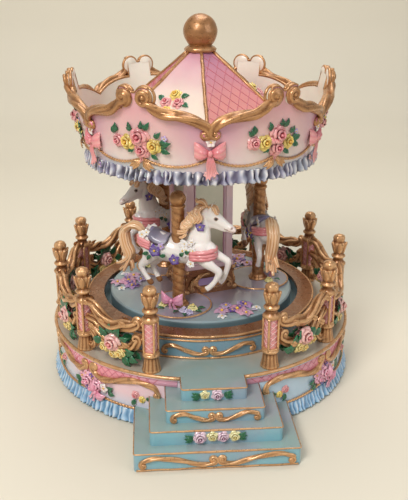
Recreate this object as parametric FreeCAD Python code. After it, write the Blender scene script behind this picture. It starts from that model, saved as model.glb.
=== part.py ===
import FreeCAD, Part
import math
import os

# Wind-up carousel music box: a cast resin base with steps, a fence and a round stage, a turning
# carousel with three horses, a mirrored column and a scalloped canopy, and a small wind-up movement.
# Millimetres, +Z up. The origin is on the turning axis at the resting surface, and the steps are at
# the front, towards -Y. Angles go round from the front, anticlockwise from above.

Vec = FreeCAD.Vector
UP = Vec(0, 0, 1)
ALONG_X = Vec(1, 0, 0)

# ---------------------------------------------------------------- driving dimensions
# base casting
deck_r = 85.0
deck_top = 30.2
drum_r = 83.2
drum_wall = 5.0
deck_thick = 4.0
deck_lip = 2.4
deck_opening_r = 44.0
ruffle_r = 85.2
ruffle_top = 9.0
ruffle_lift = 0.6

# steps: half width, distance of the riser in front of the axis, tread height; bottom step first
steps = [(39.2, 115.3, 9.5), (31.5, 109.1, 17.0), (23.6, 102.3, 23.9), (16.0, 94.3, deck_top)]
step_corner_r = 2.0

# fence
fence_r = 79.6
post_spacing = 31.6
post_count = 11
post_half = 3.0
post_foot_r = 4.9
post_top = 76.0

# stage and turntable
stage_r = 64.8
stage_inner_r = 57.2
stage_ring_r = 65.3
stage_ring_inner_r = 56.4
stage_ring_top = 43.5
stage_ring_thick = 2.0
stage_floor_low = 32.2
stage_floor_high = 34.7
turntable_r = 52.6
turntable_top = 45.4
turntable_thick = 4.0
turntable_rim = 3.6
turntable_low = 37.5

# horses
horse_count = 3
first_horse = -24.4
horse_circle_r = 34.2
pole_r = 3.6
pole_ball_r = 4.45
pole_ball_height = 106.5
plate_r = 18.0
plate_thick = 1.2
pole_fit = 0.05

# column
column_half = 13.0
column_turn = 18.0
pilaster_half = 1.9
plinth_top = 60.0
mirror_half = 8.6
mirror_low = 66.0
mirror_high = 113.0
mirror_thick = 0.8

# canopy
canopy_low = 122.2
canopy_r = 60.1
canopy_flare = 0.2246
canopy_wall = 2.6
canopy_sides = 6
seam_height = 150.7
lobe_shoulder = 156.0
curl_height = 164.0
curl_offset = 5.2
curl_r = 4.8
ceiling_thick = 2.4
canopy_ruffle_out = 1.5
canopy_ruffle_high = 5.0
roof_low = 136.0
roof_r = 60.2
roof_top = 177.4
roof_top_r = 7.6
roof_thick = 2.4
rib_r = 1.1
collar_r = 8.3
finial_r = 9.34
finial_height = 187.8

# closing plate, key and movement
plate_low = 10.5
closing_plate_r = 76.0
closing_plate_thick = 2.0
boss_circle_r = 50.0
boss_r = 4.0
screw_r = 1.4
screw_head_r = 2.6
screw_head_high = 1.2
felt_inner_r = 56.0
felt_outer_r = 74.0
felt_thick = 1.0
arbor_r = 2.5
running_gap = 0.05
bed_low = plate_low + closing_plate_thick
bed_thick = 2.0
bed_top = bed_low + bed_thick
bed_x = (-15.0, 42.0)
bed_half_y = 21.0
barrel_r = 10.6
barrel_wall = 0.8
barrel_top = 29.5
spindle_r = 3.0
flange_r = 12.0
flange_thick = 2.4
flange_screw_circle_r = 8.5
bush_r = 5.0

# gear train: the crown wheel on the barrel drives the pinion on the pinned cylinder
gear_module = 0.6
crown_teeth = 40
pinion_teeth = 10
crown_r = gear_module * crown_teeth / 2
pinion_pitch_r = gear_module * pinion_teeth / 2
crown_face = 2.0
pitch_height = 18.0
addendum = 0.45
dedendum = 0.65
cylinder_height = pitch_height + pinion_pitch_r
cylinder_r = 5.9
cylinder_x = (14.6, 32.6)
worm_wheel_teeth = 24
worm_wheel_r = 6.0
worm_wheel_x = (33.4, 34.8)
cylinder_end_x = 39.0
pivot_r = 1.0
worm_r = 0.9
worm_y = worm_wheel_r + 0.15 + worm_r
worm_x = sum(worm_wheel_x) / 2
fly_reach = 3.4
fly_low = 27.6
fly_high = 29.6
comb_notes = 18
comb_slot = 0.25
comb_tip_y = -6.7
comb_back_y = -19.5
comb_root_y = -13.0
comb_thick = 0.9


# ---------------------------------------------------------------- shape helpers
def around(radius, angle, height=0.0):
    """Point at an angle from the front, anticlockwise from above."""
    a = math.radians(angle)
    return Vec(radius * math.sin(a), -radius * math.cos(a), height)


def cylinder(radius, low, high, x=0.0, y=0.0):
    return Part.makeCylinder(radius, high - low, Vec(x, y, low))


def cylinder_x_axis(radius, start, end, y, height):
    return Part.makeCylinder(radius, end - start, Vec(start, y, height), ALONG_X)


def ring(outer, inner, low, high):
    return cylinder(outer, low, high).cut(cylinder(inner, low - 1, high + 1))


def block(x_low, x_high, y_low, y_high, low, high):
    return Part.makeBox(x_high - x_low, y_high - y_low, high - low, Vec(x_low, y_low, low))


def pillar(half, low, high, corner=0.0):
    """Square pillar on the axis, with its upright edges rounded if a corner radius is given."""
    solid = block(-half, half, -half, half, low, high)
    if not corner:
        return solid
    upright = [e for e in solid.Edges if abs(e.tangentAt(e.FirstParameter).z) > 0.9]
    return solid.makeFillet(corner, upright)


def revolved(outline, x=0.0, y=0.0):
    """Solid of revolution from (radius, height) points."""
    points = [Vec(x + r, y, z) for r, z in outline]
    face = Part.Face(Part.makePolygon(points + points[:1]))
    return face.revolve(Vec(x, y, 0), UP, 360)


def turned(shape, angle):
    copy = shape.copy()
    copy.rotate(Vec(0, 0, 0), UP, angle)
    return copy


def fused(shapes):
    return shapes[0].multiFuse(shapes[1:]).removeSplitter()


def group(shapes):
    return Part.makeCompound(shapes)


def rod(points, radius):
    """Round rod with domed ends along a smooth curve."""
    curve = Part.BSplineCurve()
    curve.interpolate(points)
    path = Part.Wire(curve.toShape())
    start = curve.tangent(curve.FirstParameter)[0]
    section = Part.Wire(Part.makeCircle(radius, points[0], start))
    return path.makePipeShell([section], True, False)


def limb(joints):
    """Tapered limb through (x, y, z, radius) joints, a little fuller at each joint."""
    fuller = 1.04
    places = [Vec(*joint[:3]) for joint in joints]
    radii = [joint[3] for joint in joints]
    parts = [Part.makeSphere(r * fuller, place) for r, place in zip(radii, places)]
    for i in range(len(joints) - 1):
        along = places[i + 1].sub(places[i])
        parts.append(Part.makeCone(radii[i], radii[i + 1], along.Length, places[i], along))
    return parts[0].multiFuse(parts[1:])


def polygon_ring(sides, radius, height):
    points = [around(radius, i * 360 / sides, height) for i in range(sides)]
    return Part.makePolygon(points + points[:1])


def largest(shape):
    return max(shape.Solids, key=lambda solid: solid.Volume)


def export(name, shape):
    solids = shape.Solids
    for solid in solids:
        if not solid.isValid():
            raise ValueError(name + " has a solid that is not valid")
    shape = solids[0] if len(solids) == 1 else group(solids)
    shape.exportStep("parts/" + name + ".step")
    print(name, len(solids), round(shape.Volume, 1))


# ---------------------------------------------------------------- base
def boss_places():
    return [around(boss_circle_r, 45 + 90 * i) for i in range(4)]


def base_drum():
    """Open-bottomed drum with a projecting deck lip and four bosses for the closing plate."""
    inner = drum_r - drum_wall
    under = deck_top - deck_thick
    outline = [(inner, 0), (drum_r, 0), (drum_r, deck_top - deck_lip), (deck_r, deck_top - deck_lip + 0.6),
               (deck_r, deck_top), (deck_opening_r, deck_top), (deck_opening_r, under), (inner, under)]
    parts = [revolved(outline)]
    for place in boss_places():
        parts.append(cylinder(boss_r, bed_low, under + 1, place.x, place.y))
    drum = fused(parts)
    for place in boss_places():
        drum = drum.cut(cylinder(screw_r, plate_low, bed_low + 8, place.x, place.y))
    return drum


def base_steps(drum):
    """Four steps cast as one piece, fitted to the drum."""
    parts = []
    for half, front, top in steps:
        tread = block(-half, half, -front, -60, 0, top)
        corners = [e for e in tread.Edges
                   if abs(e.tangentAt(e.FirstParameter).z) > 0.9 and e.CenterOfMass.y < -80]
        parts.append(tread.makeFillet(step_corner_r, corners))
    core = cylinder(drum_r, -1, deck_top + 1)
    return fused(parts).cut(core).cut(drum)


def base_ruffle():
    half, front, _ = steps[0]
    skirt = ring(ruffle_r, drum_r, ruffle_lift, ruffle_top)
    return skirt.cut(block(-half, half, -front, -50, 0, deck_top))


def post_angles():
    first = 180 - post_spacing * (post_count - 1) / 2
    return [first + post_spacing * i for i in range(post_count)]


def fence_post():
    """Post at the front of the fence circle: fluted foot, square shaft, collar and crown."""
    foot = revolved([(0, deck_top), (post_foot_r, deck_top), (post_foot_r, deck_top + 1.2),
                     (3.6, deck_top + 5.5), (3.4, 38.2), (4.3, 38.8), (4.3, 39.6), (0, 39.6)], 0, -fence_r)
    shaft = block(-post_half, post_half, -fence_r - post_half, -fence_r + post_half, 39.0, 57.6)
    crown = revolved([(0, 57.0), (4.2, 57.0), (4.4, 58.4), (3.6, 59.6), (4.2, 60.6), (4.0, 61.6), (2.7, 62.6),
                      (2.5, 64.8), (3.6, 66.0), (3.5, 69.0), (4.4, 73.4), (3.2, 74.6), (1.6, post_top),
                      (0, post_top)], 0, -fence_r)
    return fused([foot, shaft, crown])


def fence_posts():
    return group([turned(fence_post(), a) for a in post_angles()])


def fence_rail():
    """Rail between two posts, centred at the front: two crossing scrolls and a rose cluster."""
    reach = post_spacing / 2 - 1.4
    upper = [(-reach, 59.0), (-reach * 0.5, 54.4), (0, 51.6), (reach * 0.5, 54.4), (reach, 59.0)]
    lower = [(-reach, 47.0), (-reach * 0.5, 41.5), (0, 38.4), (reach * 0.5, 41.5), (reach, 47.0)]
    bars = [rod([around(fence_r, a, z) for a, z in line], 2.0) for line in (upper, lower)]
    roses = Part.makeSphere(4.6, Vec(0, -fence_r, 41.0))
    stem = cylinder(2.0, 38.0, 52.0, 0, -fence_r)
    return fused(bars + [roses, stem])


def fence_rails(posts):
    rail = fence_rail()
    angles = post_angles()
    middles = [a + post_spacing / 2 for a in angles[:-1]]
    return group([turned(rail, a).cut(posts) for a in middles])


def stage_riser():
    """Round step under the turntable, with a floor that carries the spindle bush."""
    return revolved([(54.0, deck_top), (stage_r, deck_top), (stage_r, stage_ring_top - stage_ring_thick),
                     (stage_inner_r, stage_ring_top - stage_ring_thick), (stage_inner_r, stage_floor_high),
                     (bush_r, stage_floor_high), (bush_r, stage_floor_low), (54.0, stage_floor_low)])


def stage_ring():
    edge = 0.5
    low = stage_ring_top - stage_ring_thick
    return revolved([(stage_ring_inner_r, low), (stage_ring_r - edge, low), (stage_ring_r, low + edge),
                     (stage_ring_r, stage_ring_top - edge), (stage_ring_r - edge, stage_ring_top),
                     (stage_ring_inner_r, stage_ring_top)])


def spindle_bush():
    bore = spindle_r + running_gap
    return revolved([(bore, stage_floor_low), (bush_r, stage_floor_low), (bush_r, stage_floor_high),
                     (6.2, stage_floor_high), (6.2, stage_floor_high + 1.0), (bore, stage_floor_high + 1.0)])


def screw(place, low, length, head_r=screw_head_r, head_high=screw_head_high):
    """Pan-head screw with its head downwards, its head's bearing face at the height low."""
    head = cylinder(head_r, low - head_high, low, place.x, place.y)
    shank = cylinder(screw_r, low, low + length, place.x, place.y)
    slot = block(place.x - head_r, place.x + head_r, place.y - 0.3, place.y + 0.3,
                 low - head_high - 1, low - head_high / 2)
    return head.fuse(shank).removeSplitter().cut(slot)


def movement_screw_places():
    return [Vec(-11.5, 17.0, 0), Vec(-11.5, -17.0, 0), Vec(38.0, 17.0, 0)]


def closing_plate():
    plate = cylinder(closing_plate_r, plate_low, bed_low).cut(cylinder(arbor_r + 1.5, 0, 20))
    for place in boss_places() + movement_screw_places():
        plate = plate.cut(cylinder(screw_r, 0, 20, place.x, place.y))
    return plate


# ---------------------------------------------------------------- movement, fixed pieces
def bearing_post(x, height, bore):
    """Upright bearing for the cylinder's pivot, standing on the bedplate."""
    upright = block(x - 0.9, x + 0.9, -2.6, 2.6, bed_top - 0.5, height + 2.4)
    return upright.cut(cylinder_x_axis(bore, x - 2, x + 2, 0, height))


def bedplate():
    """Cast bedplate with a step for the comb and the cylinder's outer bearing."""
    plate = block(bed_x[0], bed_x[1], -bed_half_y, bed_half_y, bed_low, bed_top)
    step = block(cylinder_x[0], cylinder_x[1], comb_back_y, comb_root_y - 0.5, bed_top - 0.5,
                 cylinder_height - comb_thick / 2)
    outer = bearing_post(cylinder_end_x - 1.0, cylinder_height, pivot_r + running_gap)
    bed = fused([plate, step, outer])
    bed = bed.cut(cylinder(arbor_r + running_gap, 0, 20))
    for place in movement_screw_places():
        bed = bed.cut(cylinder(screw_r, 0, 20, place.x, place.y))
    for place in comb_screw_places():
        bed = bed.cut(cylinder(0.9, bed_top + 1, cylinder_height, place.x, place.y))
    return bed


def comb_screw_places():
    middle = sum(cylinder_x) / 2
    return [Vec(middle - 5.5, -16.5, 0), Vec(middle + 5.5, -16.5, 0)]


def comb():
    """Steel comb: one tooth for each note, cut from one plate."""
    low = cylinder_height - comb_thick / 2
    plate = block(cylinder_x[0], cylinder_x[1], comb_back_y, comb_tip_y, low, low + comb_thick)
    pitch = (cylinder_x[1] - cylinder_x[0]) / comb_notes
    cuts = []
    for i in range(1, comb_notes):
        x = cylinder_x[0] + i * pitch
        half = comb_slot / 2
        cuts.append(block(x - half, x + half, comb_root_y, comb_tip_y + 1, low - 1, low + 3))
    for place in comb_screw_places():
        cuts.append(cylinder(0.9, low - 1, low + 3, place.x, place.y))
    return plate.cut(group(cuts))


def comb_screws():
    low = cylinder_height + comb_thick / 2
    shapes = []
    for place in comb_screw_places():
        head = cylinder(2.0, low, low + 1.1, place.x, place.y)
        shank = cylinder(0.9, bed_top + 1, low, place.x, place.y)
        shapes.append(head.fuse(shank).removeSplitter())
    return group(shapes)


def governor_frame():
    """Bracket on the bedplate that holds the fly's upper pivot."""
    foot = block(36.2, 41.0, 8.0, 13.0, bed_top, bed_top + 1.2)
    upright = block(38.4, 40.0, 8.0, 13.0, bed_top, 31.4)
    arm = block(worm_x - 1.6, 40.0, worm_y - 1.5, worm_y + 2.4, 30.4, 31.6)
    return fused([foot, upright, arm]).cut(cylinder(0.55, 28, 33, worm_x, worm_y))


# ---------------------------------------------------------------- movement, moving pieces
def toothed_wheel(x_low, x_high, teeth, root_r, tip_r, root_half, tip_half):
    """Toothed wheel on the X axis with straight-sided teeth; one tooth points straight down."""
    parts = [cylinder_x_axis(root_r + 0.05, x_low, x_high, 0, 0)]
    for i in range(teeth):
        points = [Vec(x_low, -root_half, -root_r + 0.3), Vec(x_low, -tip_half, -tip_r),
                  Vec(x_low, tip_half, -tip_r), Vec(x_low, root_half, -root_r + 0.3)]
        tooth = Part.Face(Part.makePolygon(points + points[:1])).extrude(Vec(x_high - x_low, 0, 0))
        tooth.rotate(Vec(0, 0, 0), ALONG_X, i * 360 / teeth)
        parts.append(tooth)
    wheel = fused(parts)
    wheel.translate(Vec(0, 0, cylinder_height))
    return wheel


def pinned_cylinder():
    """Pinned cylinder with its driving pinion, its pivot and its pins."""
    face = (crown_r - crown_face / 2 + 0.1, crown_r + crown_face / 2 + 0.2)
    pinion = toothed_wheel(face[0], cylinder_x[0], pinion_teeth, pinion_pitch_r - dedendum,
                            pinion_pitch_r + addendum, 0.42, 0.18)
    parts = [pinion, cylinder_x_axis(cylinder_r, cylinder_x[0], cylinder_x[1], 0, cylinder_height),
             cylinder_x_axis(pivot_r, cylinder_x[1], cylinder_end_x, 0, cylinder_height)]
    pitch = (cylinder_x[1] - cylinder_x[0]) / comb_notes
    for i in range(2 * comb_notes):
        x = cylinder_x[0] + (i % comb_notes + 0.5) * pitch
        pin = Part.makeCylinder(0.22, cylinder_r + 0.5, Vec(x, 0, cylinder_height), Vec(0, 0, 1))
        pin.rotate(Vec(0, 0, cylinder_height), ALONG_X, 137.5 * i)
        parts.append(pin)
    return fused(parts)


def worm_wheel():
    """Wheel on the cylinder's shaft that drives the fly."""
    wheel = toothed_wheel(worm_wheel_x[0], worm_wheel_x[1], worm_wheel_teeth, worm_wheel_r - 0.9,
                           worm_wheel_r, 0.4, 0.2)
    return wheel.cut(cylinder_x_axis(pivot_r, 30, 45, 0, cylinder_height))


def governor_fly():
    """Upright worm shaft with its two-bladed air brake."""
    shaft = cylinder(worm_r, bed_top + 0.2, fly_high, worm_x, worm_y)
    pivot = cylinder(0.5, bed_top + 0.2, 31.2, worm_x, worm_y)
    blades = block(worm_x - fly_reach, worm_x + fly_reach, worm_y - 0.3, worm_y + 0.3, fly_low, fly_high)
    return fused([shaft, pivot, blades])


def crown_wheel():
    """Crown wheel with its teeth facing up; a tooth space faces the pinion."""
    inner = crown_r - crown_face / 2
    outer = crown_r + crown_face / 2
    root = pitch_height - dedendum
    tip = pitch_height + addendum
    parts = [cylinder(outer, bed_top + 0.6, root)]
    pitch = 360 / crown_teeth
    for i in range(crown_teeth):
        middle = 90 + pitch * (i + 0.5)
        sections = []
        for height, half in ((root - 0.2, 0.24 * pitch), (tip, 0.10 * pitch)):
            corners = [around(r, middle + side * half, height)
                       for r, side in ((inner, -1), (outer - 0.02, -1), (outer - 0.02, 1), (inner, 1))]
            sections.append(Part.makePolygon(corners + corners[:1]))
        parts.append(Part.makeLoft(sections, True, True))
    wheel = fused(parts)
    return wheel.cut(cylinder(arbor_r + running_gap, 0, 40))


def spring_barrel():
    """Drum that holds the mainspring, closed above and standing on the crown wheel."""
    low = pitch_height - dedendum
    inner = barrel_r - barrel_wall
    bore = arbor_r + running_gap
    return revolved([(inner, low), (barrel_r, low), (barrel_r, barrel_top), (bore, barrel_top),
                     (bore, barrel_top - 1.0), (inner, barrel_top - 1.0)])


def mainspring():
    """Coiled strip inside the barrel, a little narrower than the barrel's inside height."""
    low = pitch_height - dedendum + 0.4
    high = barrel_top - 1.4
    strip = 0.5
    turns = 5
    start_r = 4.0
    end_r = barrel_r - barrel_wall - 0.2 - strip
    count = turns * 12
    outer = []
    inner = []
    for i in range(count + 1):
        angle = 360 * turns * i / count
        radius = start_r + (end_r - start_r) * i / count
        inner.append(around(radius, angle, low))
        outer.append(around(radius + strip, angle, low))
    edges = []
    for points in (inner, outer):
        curve = Part.BSplineCurve()
        curve.interpolate(points)
        edges.append(curve.toShape())
    edges.append(Part.makeLine(inner[0], outer[0]))
    edges.append(Part.makeLine(inner[-1], outer[-1]))
    face = Part.Face(Part.Wire(Part.__sortEdges__(edges)))
    return face.extrude(Vec(0, 0, high - low))


def drive_spindle():
    """Spindle from the barrel to the turntable, with a flange under the turntable."""
    top = turntable_top - turntable_thick
    spindle = revolved([(0, barrel_top), (6.0, barrel_top), (6.0, barrel_top + 1.2),
                        (spindle_r, barrel_top + 1.2), (spindle_r, top - flange_thick),
                        (flange_r, top - flange_thick), (flange_r, top), (0, top)])
    return spindle.cut(group([cylinder(screw_r, 30, top + 1, p.x, p.y) for p in spindle_screw_places()]))


def spindle_screw_places():
    return [around(flange_screw_circle_r, 120 * i) for i in range(3)]


def spindle_screws():
    low = turntable_top - turntable_thick - flange_thick
    return group([screw(p, low, 4.0, 2.2, 1.0) for p in spindle_screw_places()])


def winding_key():
    """Winged key on its square-shouldered arbor, turned from below."""
    arbor = cylinder(arbor_r, 6.0, barrel_top - 0.6)
    collar = cylinder(3.6, 6.0, 9.8)
    wings = []
    for side in (-1, 1):
        disc = Part.makeCylinder(4.4, 2.4, Vec(side * 9.0, -1.2, 5.6), Vec(0, 1, 0))
        hole = Part.makeCylinder(1.9, 4.0, Vec(side * 9.0, -2.0, 5.6), Vec(0, 1, 0))
        wings.append(disc.cut(hole))
    web = block(-6.0, 6.0, -1.2, 1.2, 2.4, 8.8)
    return fused([arbor, collar, web] + wings)


# ---------------------------------------------------------------- carousel
def turntable():
    top = turntable_top
    low = top - turntable_thick
    inner = turntable_r - turntable_rim
    disc = revolved([(0, low), (inner, low), (inner, turntable_low), (turntable_r, turntable_low),
                     (turntable_r, top - 0.8), (turntable_r - 0.8, top), (0, top)])
    return disc.cut(group([cylinder(screw_r, low - 1, low + 1.6, p.x, p.y) for p in spindle_screw_places()]))


def horse_angles():
    return [first_horse + 360 / horse_count * i for i in range(horse_count)]


def horse_plate(angle):
    edge = 0.4
    place = around(horse_circle_r, angle)
    low = turntable_top
    plate = revolved([(0, low), (plate_r, low), (plate_r, low + plate_thick - edge),
                      (plate_r - edge, low + plate_thick), (0, low + plate_thick)], place.x, place.y)
    return plate.cut(column_plinth())


def pole(angle):
    place = around(horse_circle_r, angle)
    low = turntable_top + plate_thick
    post = cylinder(pole_r, low, pole_ball_height, place.x, place.y)
    ball = Part.makeSphere(pole_ball_r, Vec(place.x, place.y, pole_ball_height))
    foot = cylinder(pole_r + 1.2, low, low + 1.6, place.x, place.y)
    return fused([post, ball, foot])


def torso():
    """Horse's trunk: round in section, fuller at the shoulder and the rump."""
    stations = [(-21.5, 0.4), (-19.5, 4.8), (-14.5, 7.6), (-7.0, 7.4), (0, 7.2), (7.0, 7.5), (13.0, 7.8),
                (18.0, 5.6), (20.5, 0.4)]
    curve = Part.BSplineCurve()
    curve.interpolate([Vec(x, 0, r) for x, r in stations])
    ends = [Vec(stations[-1][0], 0, stations[-1][1]), Vec(stations[-1][0], 0, 0),
            Vec(stations[0][0], 0, 0), Vec(stations[0][0], 0, stations[0][1])]
    edges = [curve.toShape()] + [Part.makeLine(ends[i], ends[i + 1]) for i in range(3)]
    body = Part.Face(Part.Wire(edges)).revolve(Vec(0, 0, 0), ALONG_X, 360)
    body.translate(Vec(0, 0, 79.0))
    return body


def horse(angle):
    """Galloping horse, heading anticlockwise, carried by the pole through its back."""
    near = -4.2
    far = 4.0
    parts = [torso()]
    chains = [
        [(12, 0, 82, 7.0), (16.5, 0, 91, 5.2), (17.5, 0, 98.5, 4.4)],
        [(17.5, 0, 99.5, 4.6), (24, 0, 96, 3.6), (29.3, 0, 92.6, 2.5)],
        [(18.4, -2.4, 102.5, 1.4), (19.4, -2.8, 106.0, 0.5)],
        [(17.6, 2.4, 102.5, 1.4), (18.4, 2.8, 106.0, 0.5)],
        [(6.5, 0, 87.5, 3.0), (9.5, 0, 95.5, 3.2), (12.5, 0, 102, 2.6)],
        [(13, near, 77, 4.6), (23.5, near - 0.6, 71.5, 2.4), (20, near - 0.6, 62.5, 1.7),
         (15.4, near - 0.6, 58.4, 1.9)],
        [(14, far, 78, 4.4), (26.6, far, 75, 2.3), (23.8, far, 66.5, 1.6), (21.8, far, 60.6, 1.9)],
        [(-15, near, 78, 5.4), (-21, near, 69.0, 2.4), (-16.8, near, 60.2, 1.7), (-14.2, near, 56.4, 1.9)],
        [(-15, far, 78, 5.4), (-17.6, far, 68.0, 2.4), (-13.6, far, 60.2, 1.7), (-11.0, far, 57.0, 1.9)],
        [(-20, 0, 85.0, 2.2), (-24.5, 0, 87.2, 2.8), (-30, 0, 83.0, 3.2), (-31.6, 0, 73.0, 3.0),
         (-33.4, 0, 63.5, 1.2)],
    ]
    for chain in chains:
        parts.append(limb(chain))
    solid = parts[0].multiFuse(parts[1:])
    solid = solid.cut(cylinder(pole_r + pole_fit, 50, 110))
    solid.translate(Vec(0, -horse_circle_r, 0))
    return turned(solid, angle)


def column_plinth():
    """Stepped square foot of the column."""
    low = turntable_top
    foot = pillar(15.6, low, low + 3.4, 1.0)
    waist = Part.makeLoft([square_wire(15.0, low + 3.4), square_wire(13.6, low + 11.0)], True, True)
    top = pillar(14.8, low + 11.0, plinth_top, 0.8)
    return turned(fused([foot, waist, top]), column_turn)


def square_wire(half, height):
    points = [Vec(half, half, height), Vec(-half, half, height), Vec(-half, -half, height),
              Vec(half, -half, height)]
    return Part.makePolygon(points + points[:1])


def mirror(angle):
    """Mirror in one face of the column."""
    face = -column_half
    pane = block(-mirror_half, mirror_half, face, face + mirror_thick, mirror_low, mirror_high)
    return turned(pane, column_turn + angle)


def column():
    """Square column with corner pilasters and a recess for a mirror in each face."""
    core = pillar(column_half, plinth_top, canopy_low)
    parts = [core]
    for x in (-1, 1):
        for y in (-1, 1):
            centre = column_half - 1.2
            parts.append(block(x * centre - pilaster_half, x * centre + pilaster_half,
                               y * centre - pilaster_half, y * centre + pilaster_half,
                               plinth_top, canopy_low))
    for low, high in ((plinth_top, plinth_top + 2.4), (canopy_low - 3.4, canopy_low)):
        parts.append(pillar(column_half + 1.3, low, high))
    solid = turned(fused(parts), column_turn)
    return solid.cut(group([mirror(90 * i) for i in range(4)]))


# ---------------------------------------------------------------- canopy
def wall_radius(height):
    return canopy_r + canopy_flare * (height - canopy_low)


def above_lobe():
    """Everything above one lobe's outline, limited to that lobe's sixth of the circle."""
    side = 40.0
    high = 190.0
    right = [(side, 148.0), (34.0, seam_height - 0.2), (28.0, 152.4), (20.0, 155.2), (12.5, lobe_shoulder),
             (9.8, 158.6)]
    left = [(-x, z) for x, z in reversed(right)]
    depth = -45.0
    outline = [Vec(x, depth, z) for x, z in right + left + [(-side, high), (side, high)]]
    region = Part.Face(Part.makePolygon(outline + outline[:1])).extrude(Vec(0, -60, 0))
    for x in (-curl_offset, curl_offset):
        curl = Part.makeCylinder(curl_r, 70, Vec(x, -40, curl_height), Vec(0, -1, 0))
        region = region.cut(curl)
    heart = block(-curl_offset, curl_offset, -120, -40, lobe_shoulder - 2, curl_height - 1)
    region = region.cut(heart)
    reach = 140.0
    half = 180 / canopy_sides
    sector = Part.makePolygon([Vec(0, 0, 100), around(reach, -half, 100), around(reach, half, 100),
                               Vec(0, 0, 100)])
    sector = Part.Face(sector).extrude(Vec(0, 0, 100))
    return region.common(sector)


def canopy_valance():
    """Flared canopy wall with six lobes that end in pairs of curls."""
    top = 172.0
    outline = [(wall_radius(canopy_low) - canopy_wall, canopy_low), (wall_radius(canopy_low), canopy_low),
               (wall_radius(top), top), (wall_radius(top) - canopy_wall, top)]
    wall = revolved(outline)
    cutter = above_lobe()
    half = 180 / canopy_sides
    for i in range(canopy_sides):
        wall = wall.cut(turned(cutter, half + 2 * half * i))
    return wall


def canopy_scrolls(valance):
    """Gold scrolls along the top edge: two for each lobe, each ending in a round curl."""
    shapes = []
    half = 180 / canopy_sides
    edge = [(28.2, 151.6), (22.0, 154.3), (16.0, 157.2), (11.0, 158.6), (6.0, 162.0)]
    for side in (-1, 1):
        points = []
        for degrees, height in edge:
            points.append(around(wall_radius(height) + 0.6, side * degrees, height))
        band = rod(points, 1.9)
        r = wall_radius(curl_height)
        curl = Part.makeCylinder(curl_r + 0.4, 4.6, Vec(side * curl_offset, -r + 2.4, curl_height),
                                 Vec(0, -1, canopy_flare * 0.6))
        shapes.append(fused([band, curl]))
    out = []
    for i in range(canopy_sides):
        for shape in shapes:
            out.append(largest(turned(shape, half + 2 * half * i).cut(valance)))
    return out


def canopy_ceiling():
    return cylinder(wall_radius(canopy_low) - canopy_wall, canopy_low, canopy_low + ceiling_thick)


def canopy_ruffle():
    """Ruffled hem round the foot of the canopy."""
    low = canopy_low - 0.8
    high = canopy_low + canopy_ruffle_high
    outer = canopy_r + canopy_ruffle_out
    return revolved([(canopy_r - canopy_wall, low), (outer, low), (outer + 1.2, high - 0.8),
                     (wall_radius(high) + 0.5, high), (wall_radius(high), high), (canopy_r, canopy_low),
                     (canopy_r - canopy_wall, canopy_low)])


def canopy_roof():
    """Six-sided roof with a flat gutter that meets the canopy wall."""
    outer = Part.makeLoft([polygon_ring(canopy_sides, roof_r, roof_low),
                           polygon_ring(canopy_sides, roof_top_r, roof_top)], True, True)
    drop = roof_thick * 1.35
    inner = Part.makeLoft([polygon_ring(canopy_sides, roof_r, roof_low - drop),
                           polygon_ring(canopy_sides, roof_top_r, roof_top - drop)], True, True)
    shell = outer.cut(inner)
    gutter_r = wall_radius(roof_low - 2.0) - canopy_wall
    gutter = ring(gutter_r, 49.0, roof_low - 2.0, roof_low)
    roof = fused([shell, gutter])
    return roof.common(cylinder(gutter_r, roof_low - 3, roof_top + 1))


def roof_ribs(roof, collar):
    shapes = []
    for i in range(canopy_sides):
        angle = 360 / canopy_sides * i
        low = around(roof_r - 3.0, angle, roof_low + 2.6)
        high = around(roof_top_r + 0.4, angle, roof_top - 0.2)
        along = high.sub(low)
        rib = Part.makeCylinder(rib_r, along.Length, low, along)
        shapes.append(largest(rib.cut(roof).cut(collar)))
    return shapes


def finial_collar():
    low = roof_top
    return revolved([(0, low), (collar_r - 1.2, low), (collar_r, low + 0.9), (collar_r, low + 1.6),
                     (collar_r - 1.0, low + 2.4), (collar_r - 2.2, low + 2.8), (0, low + 2.8)])


def finial_ball():
    ball = Part.makeSphere(finial_r, Vec(0, 0, finial_height))
    return ball.cut(cylinder(20, roof_top - 5, roof_top + 2.8))


# ---------------------------------------------------------------- build
def build_base():
    drum = base_drum()
    posts = fence_posts()
    export("base_drum", drum)
    export("base_steps", base_steps(drum))
    export("base_ruffle", base_ruffle())
    export("fence_posts", posts)
    export("fence_rails", fence_rails(posts))
    export("stage_riser", stage_riser())
    export("stage_ring", stage_ring())
    export("spindle_bush", spindle_bush())
    export("closing_plate", closing_plate())
    export("felt_ring", ring(felt_outer_r, felt_inner_r, plate_low - felt_thick, plate_low))
    export("closing_plate_screws", group([screw(p, plate_low, 8.0) for p in boss_places()]))


def build_movement():
    export("movement_bedplate", bedplate())
    export("movement_screws", group([screw(p, plate_low, 4.0) for p in movement_screw_places()]))
    export("comb", comb())
    export("comb_screws", comb_screws())
    export("governor_frame", governor_frame())
    export("pinned_cylinder", pinned_cylinder())
    export("worm_wheel", worm_wheel())
    export("governor_fly", governor_fly())
    export("crown_wheel", crown_wheel())
    export("spring_barrel", spring_barrel())
    export("mainspring", mainspring())
    export("drive_spindle", drive_spindle())
    export("spindle_screws", spindle_screws())
    export("winding_key", winding_key())


def build_carousel():
    export("turntable", turntable())
    for number, angle in enumerate(horse_angles(), 1):
        export("horse_plate_" + str(number), horse_plate(angle))
        export("pole_" + str(number), pole(angle))
        export("horse_" + str(number), horse(angle))
    export("column_plinth", column_plinth())
    export("column", column())
    export("column_mirrors", group([mirror(90 * i) for i in range(4)]))


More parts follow.
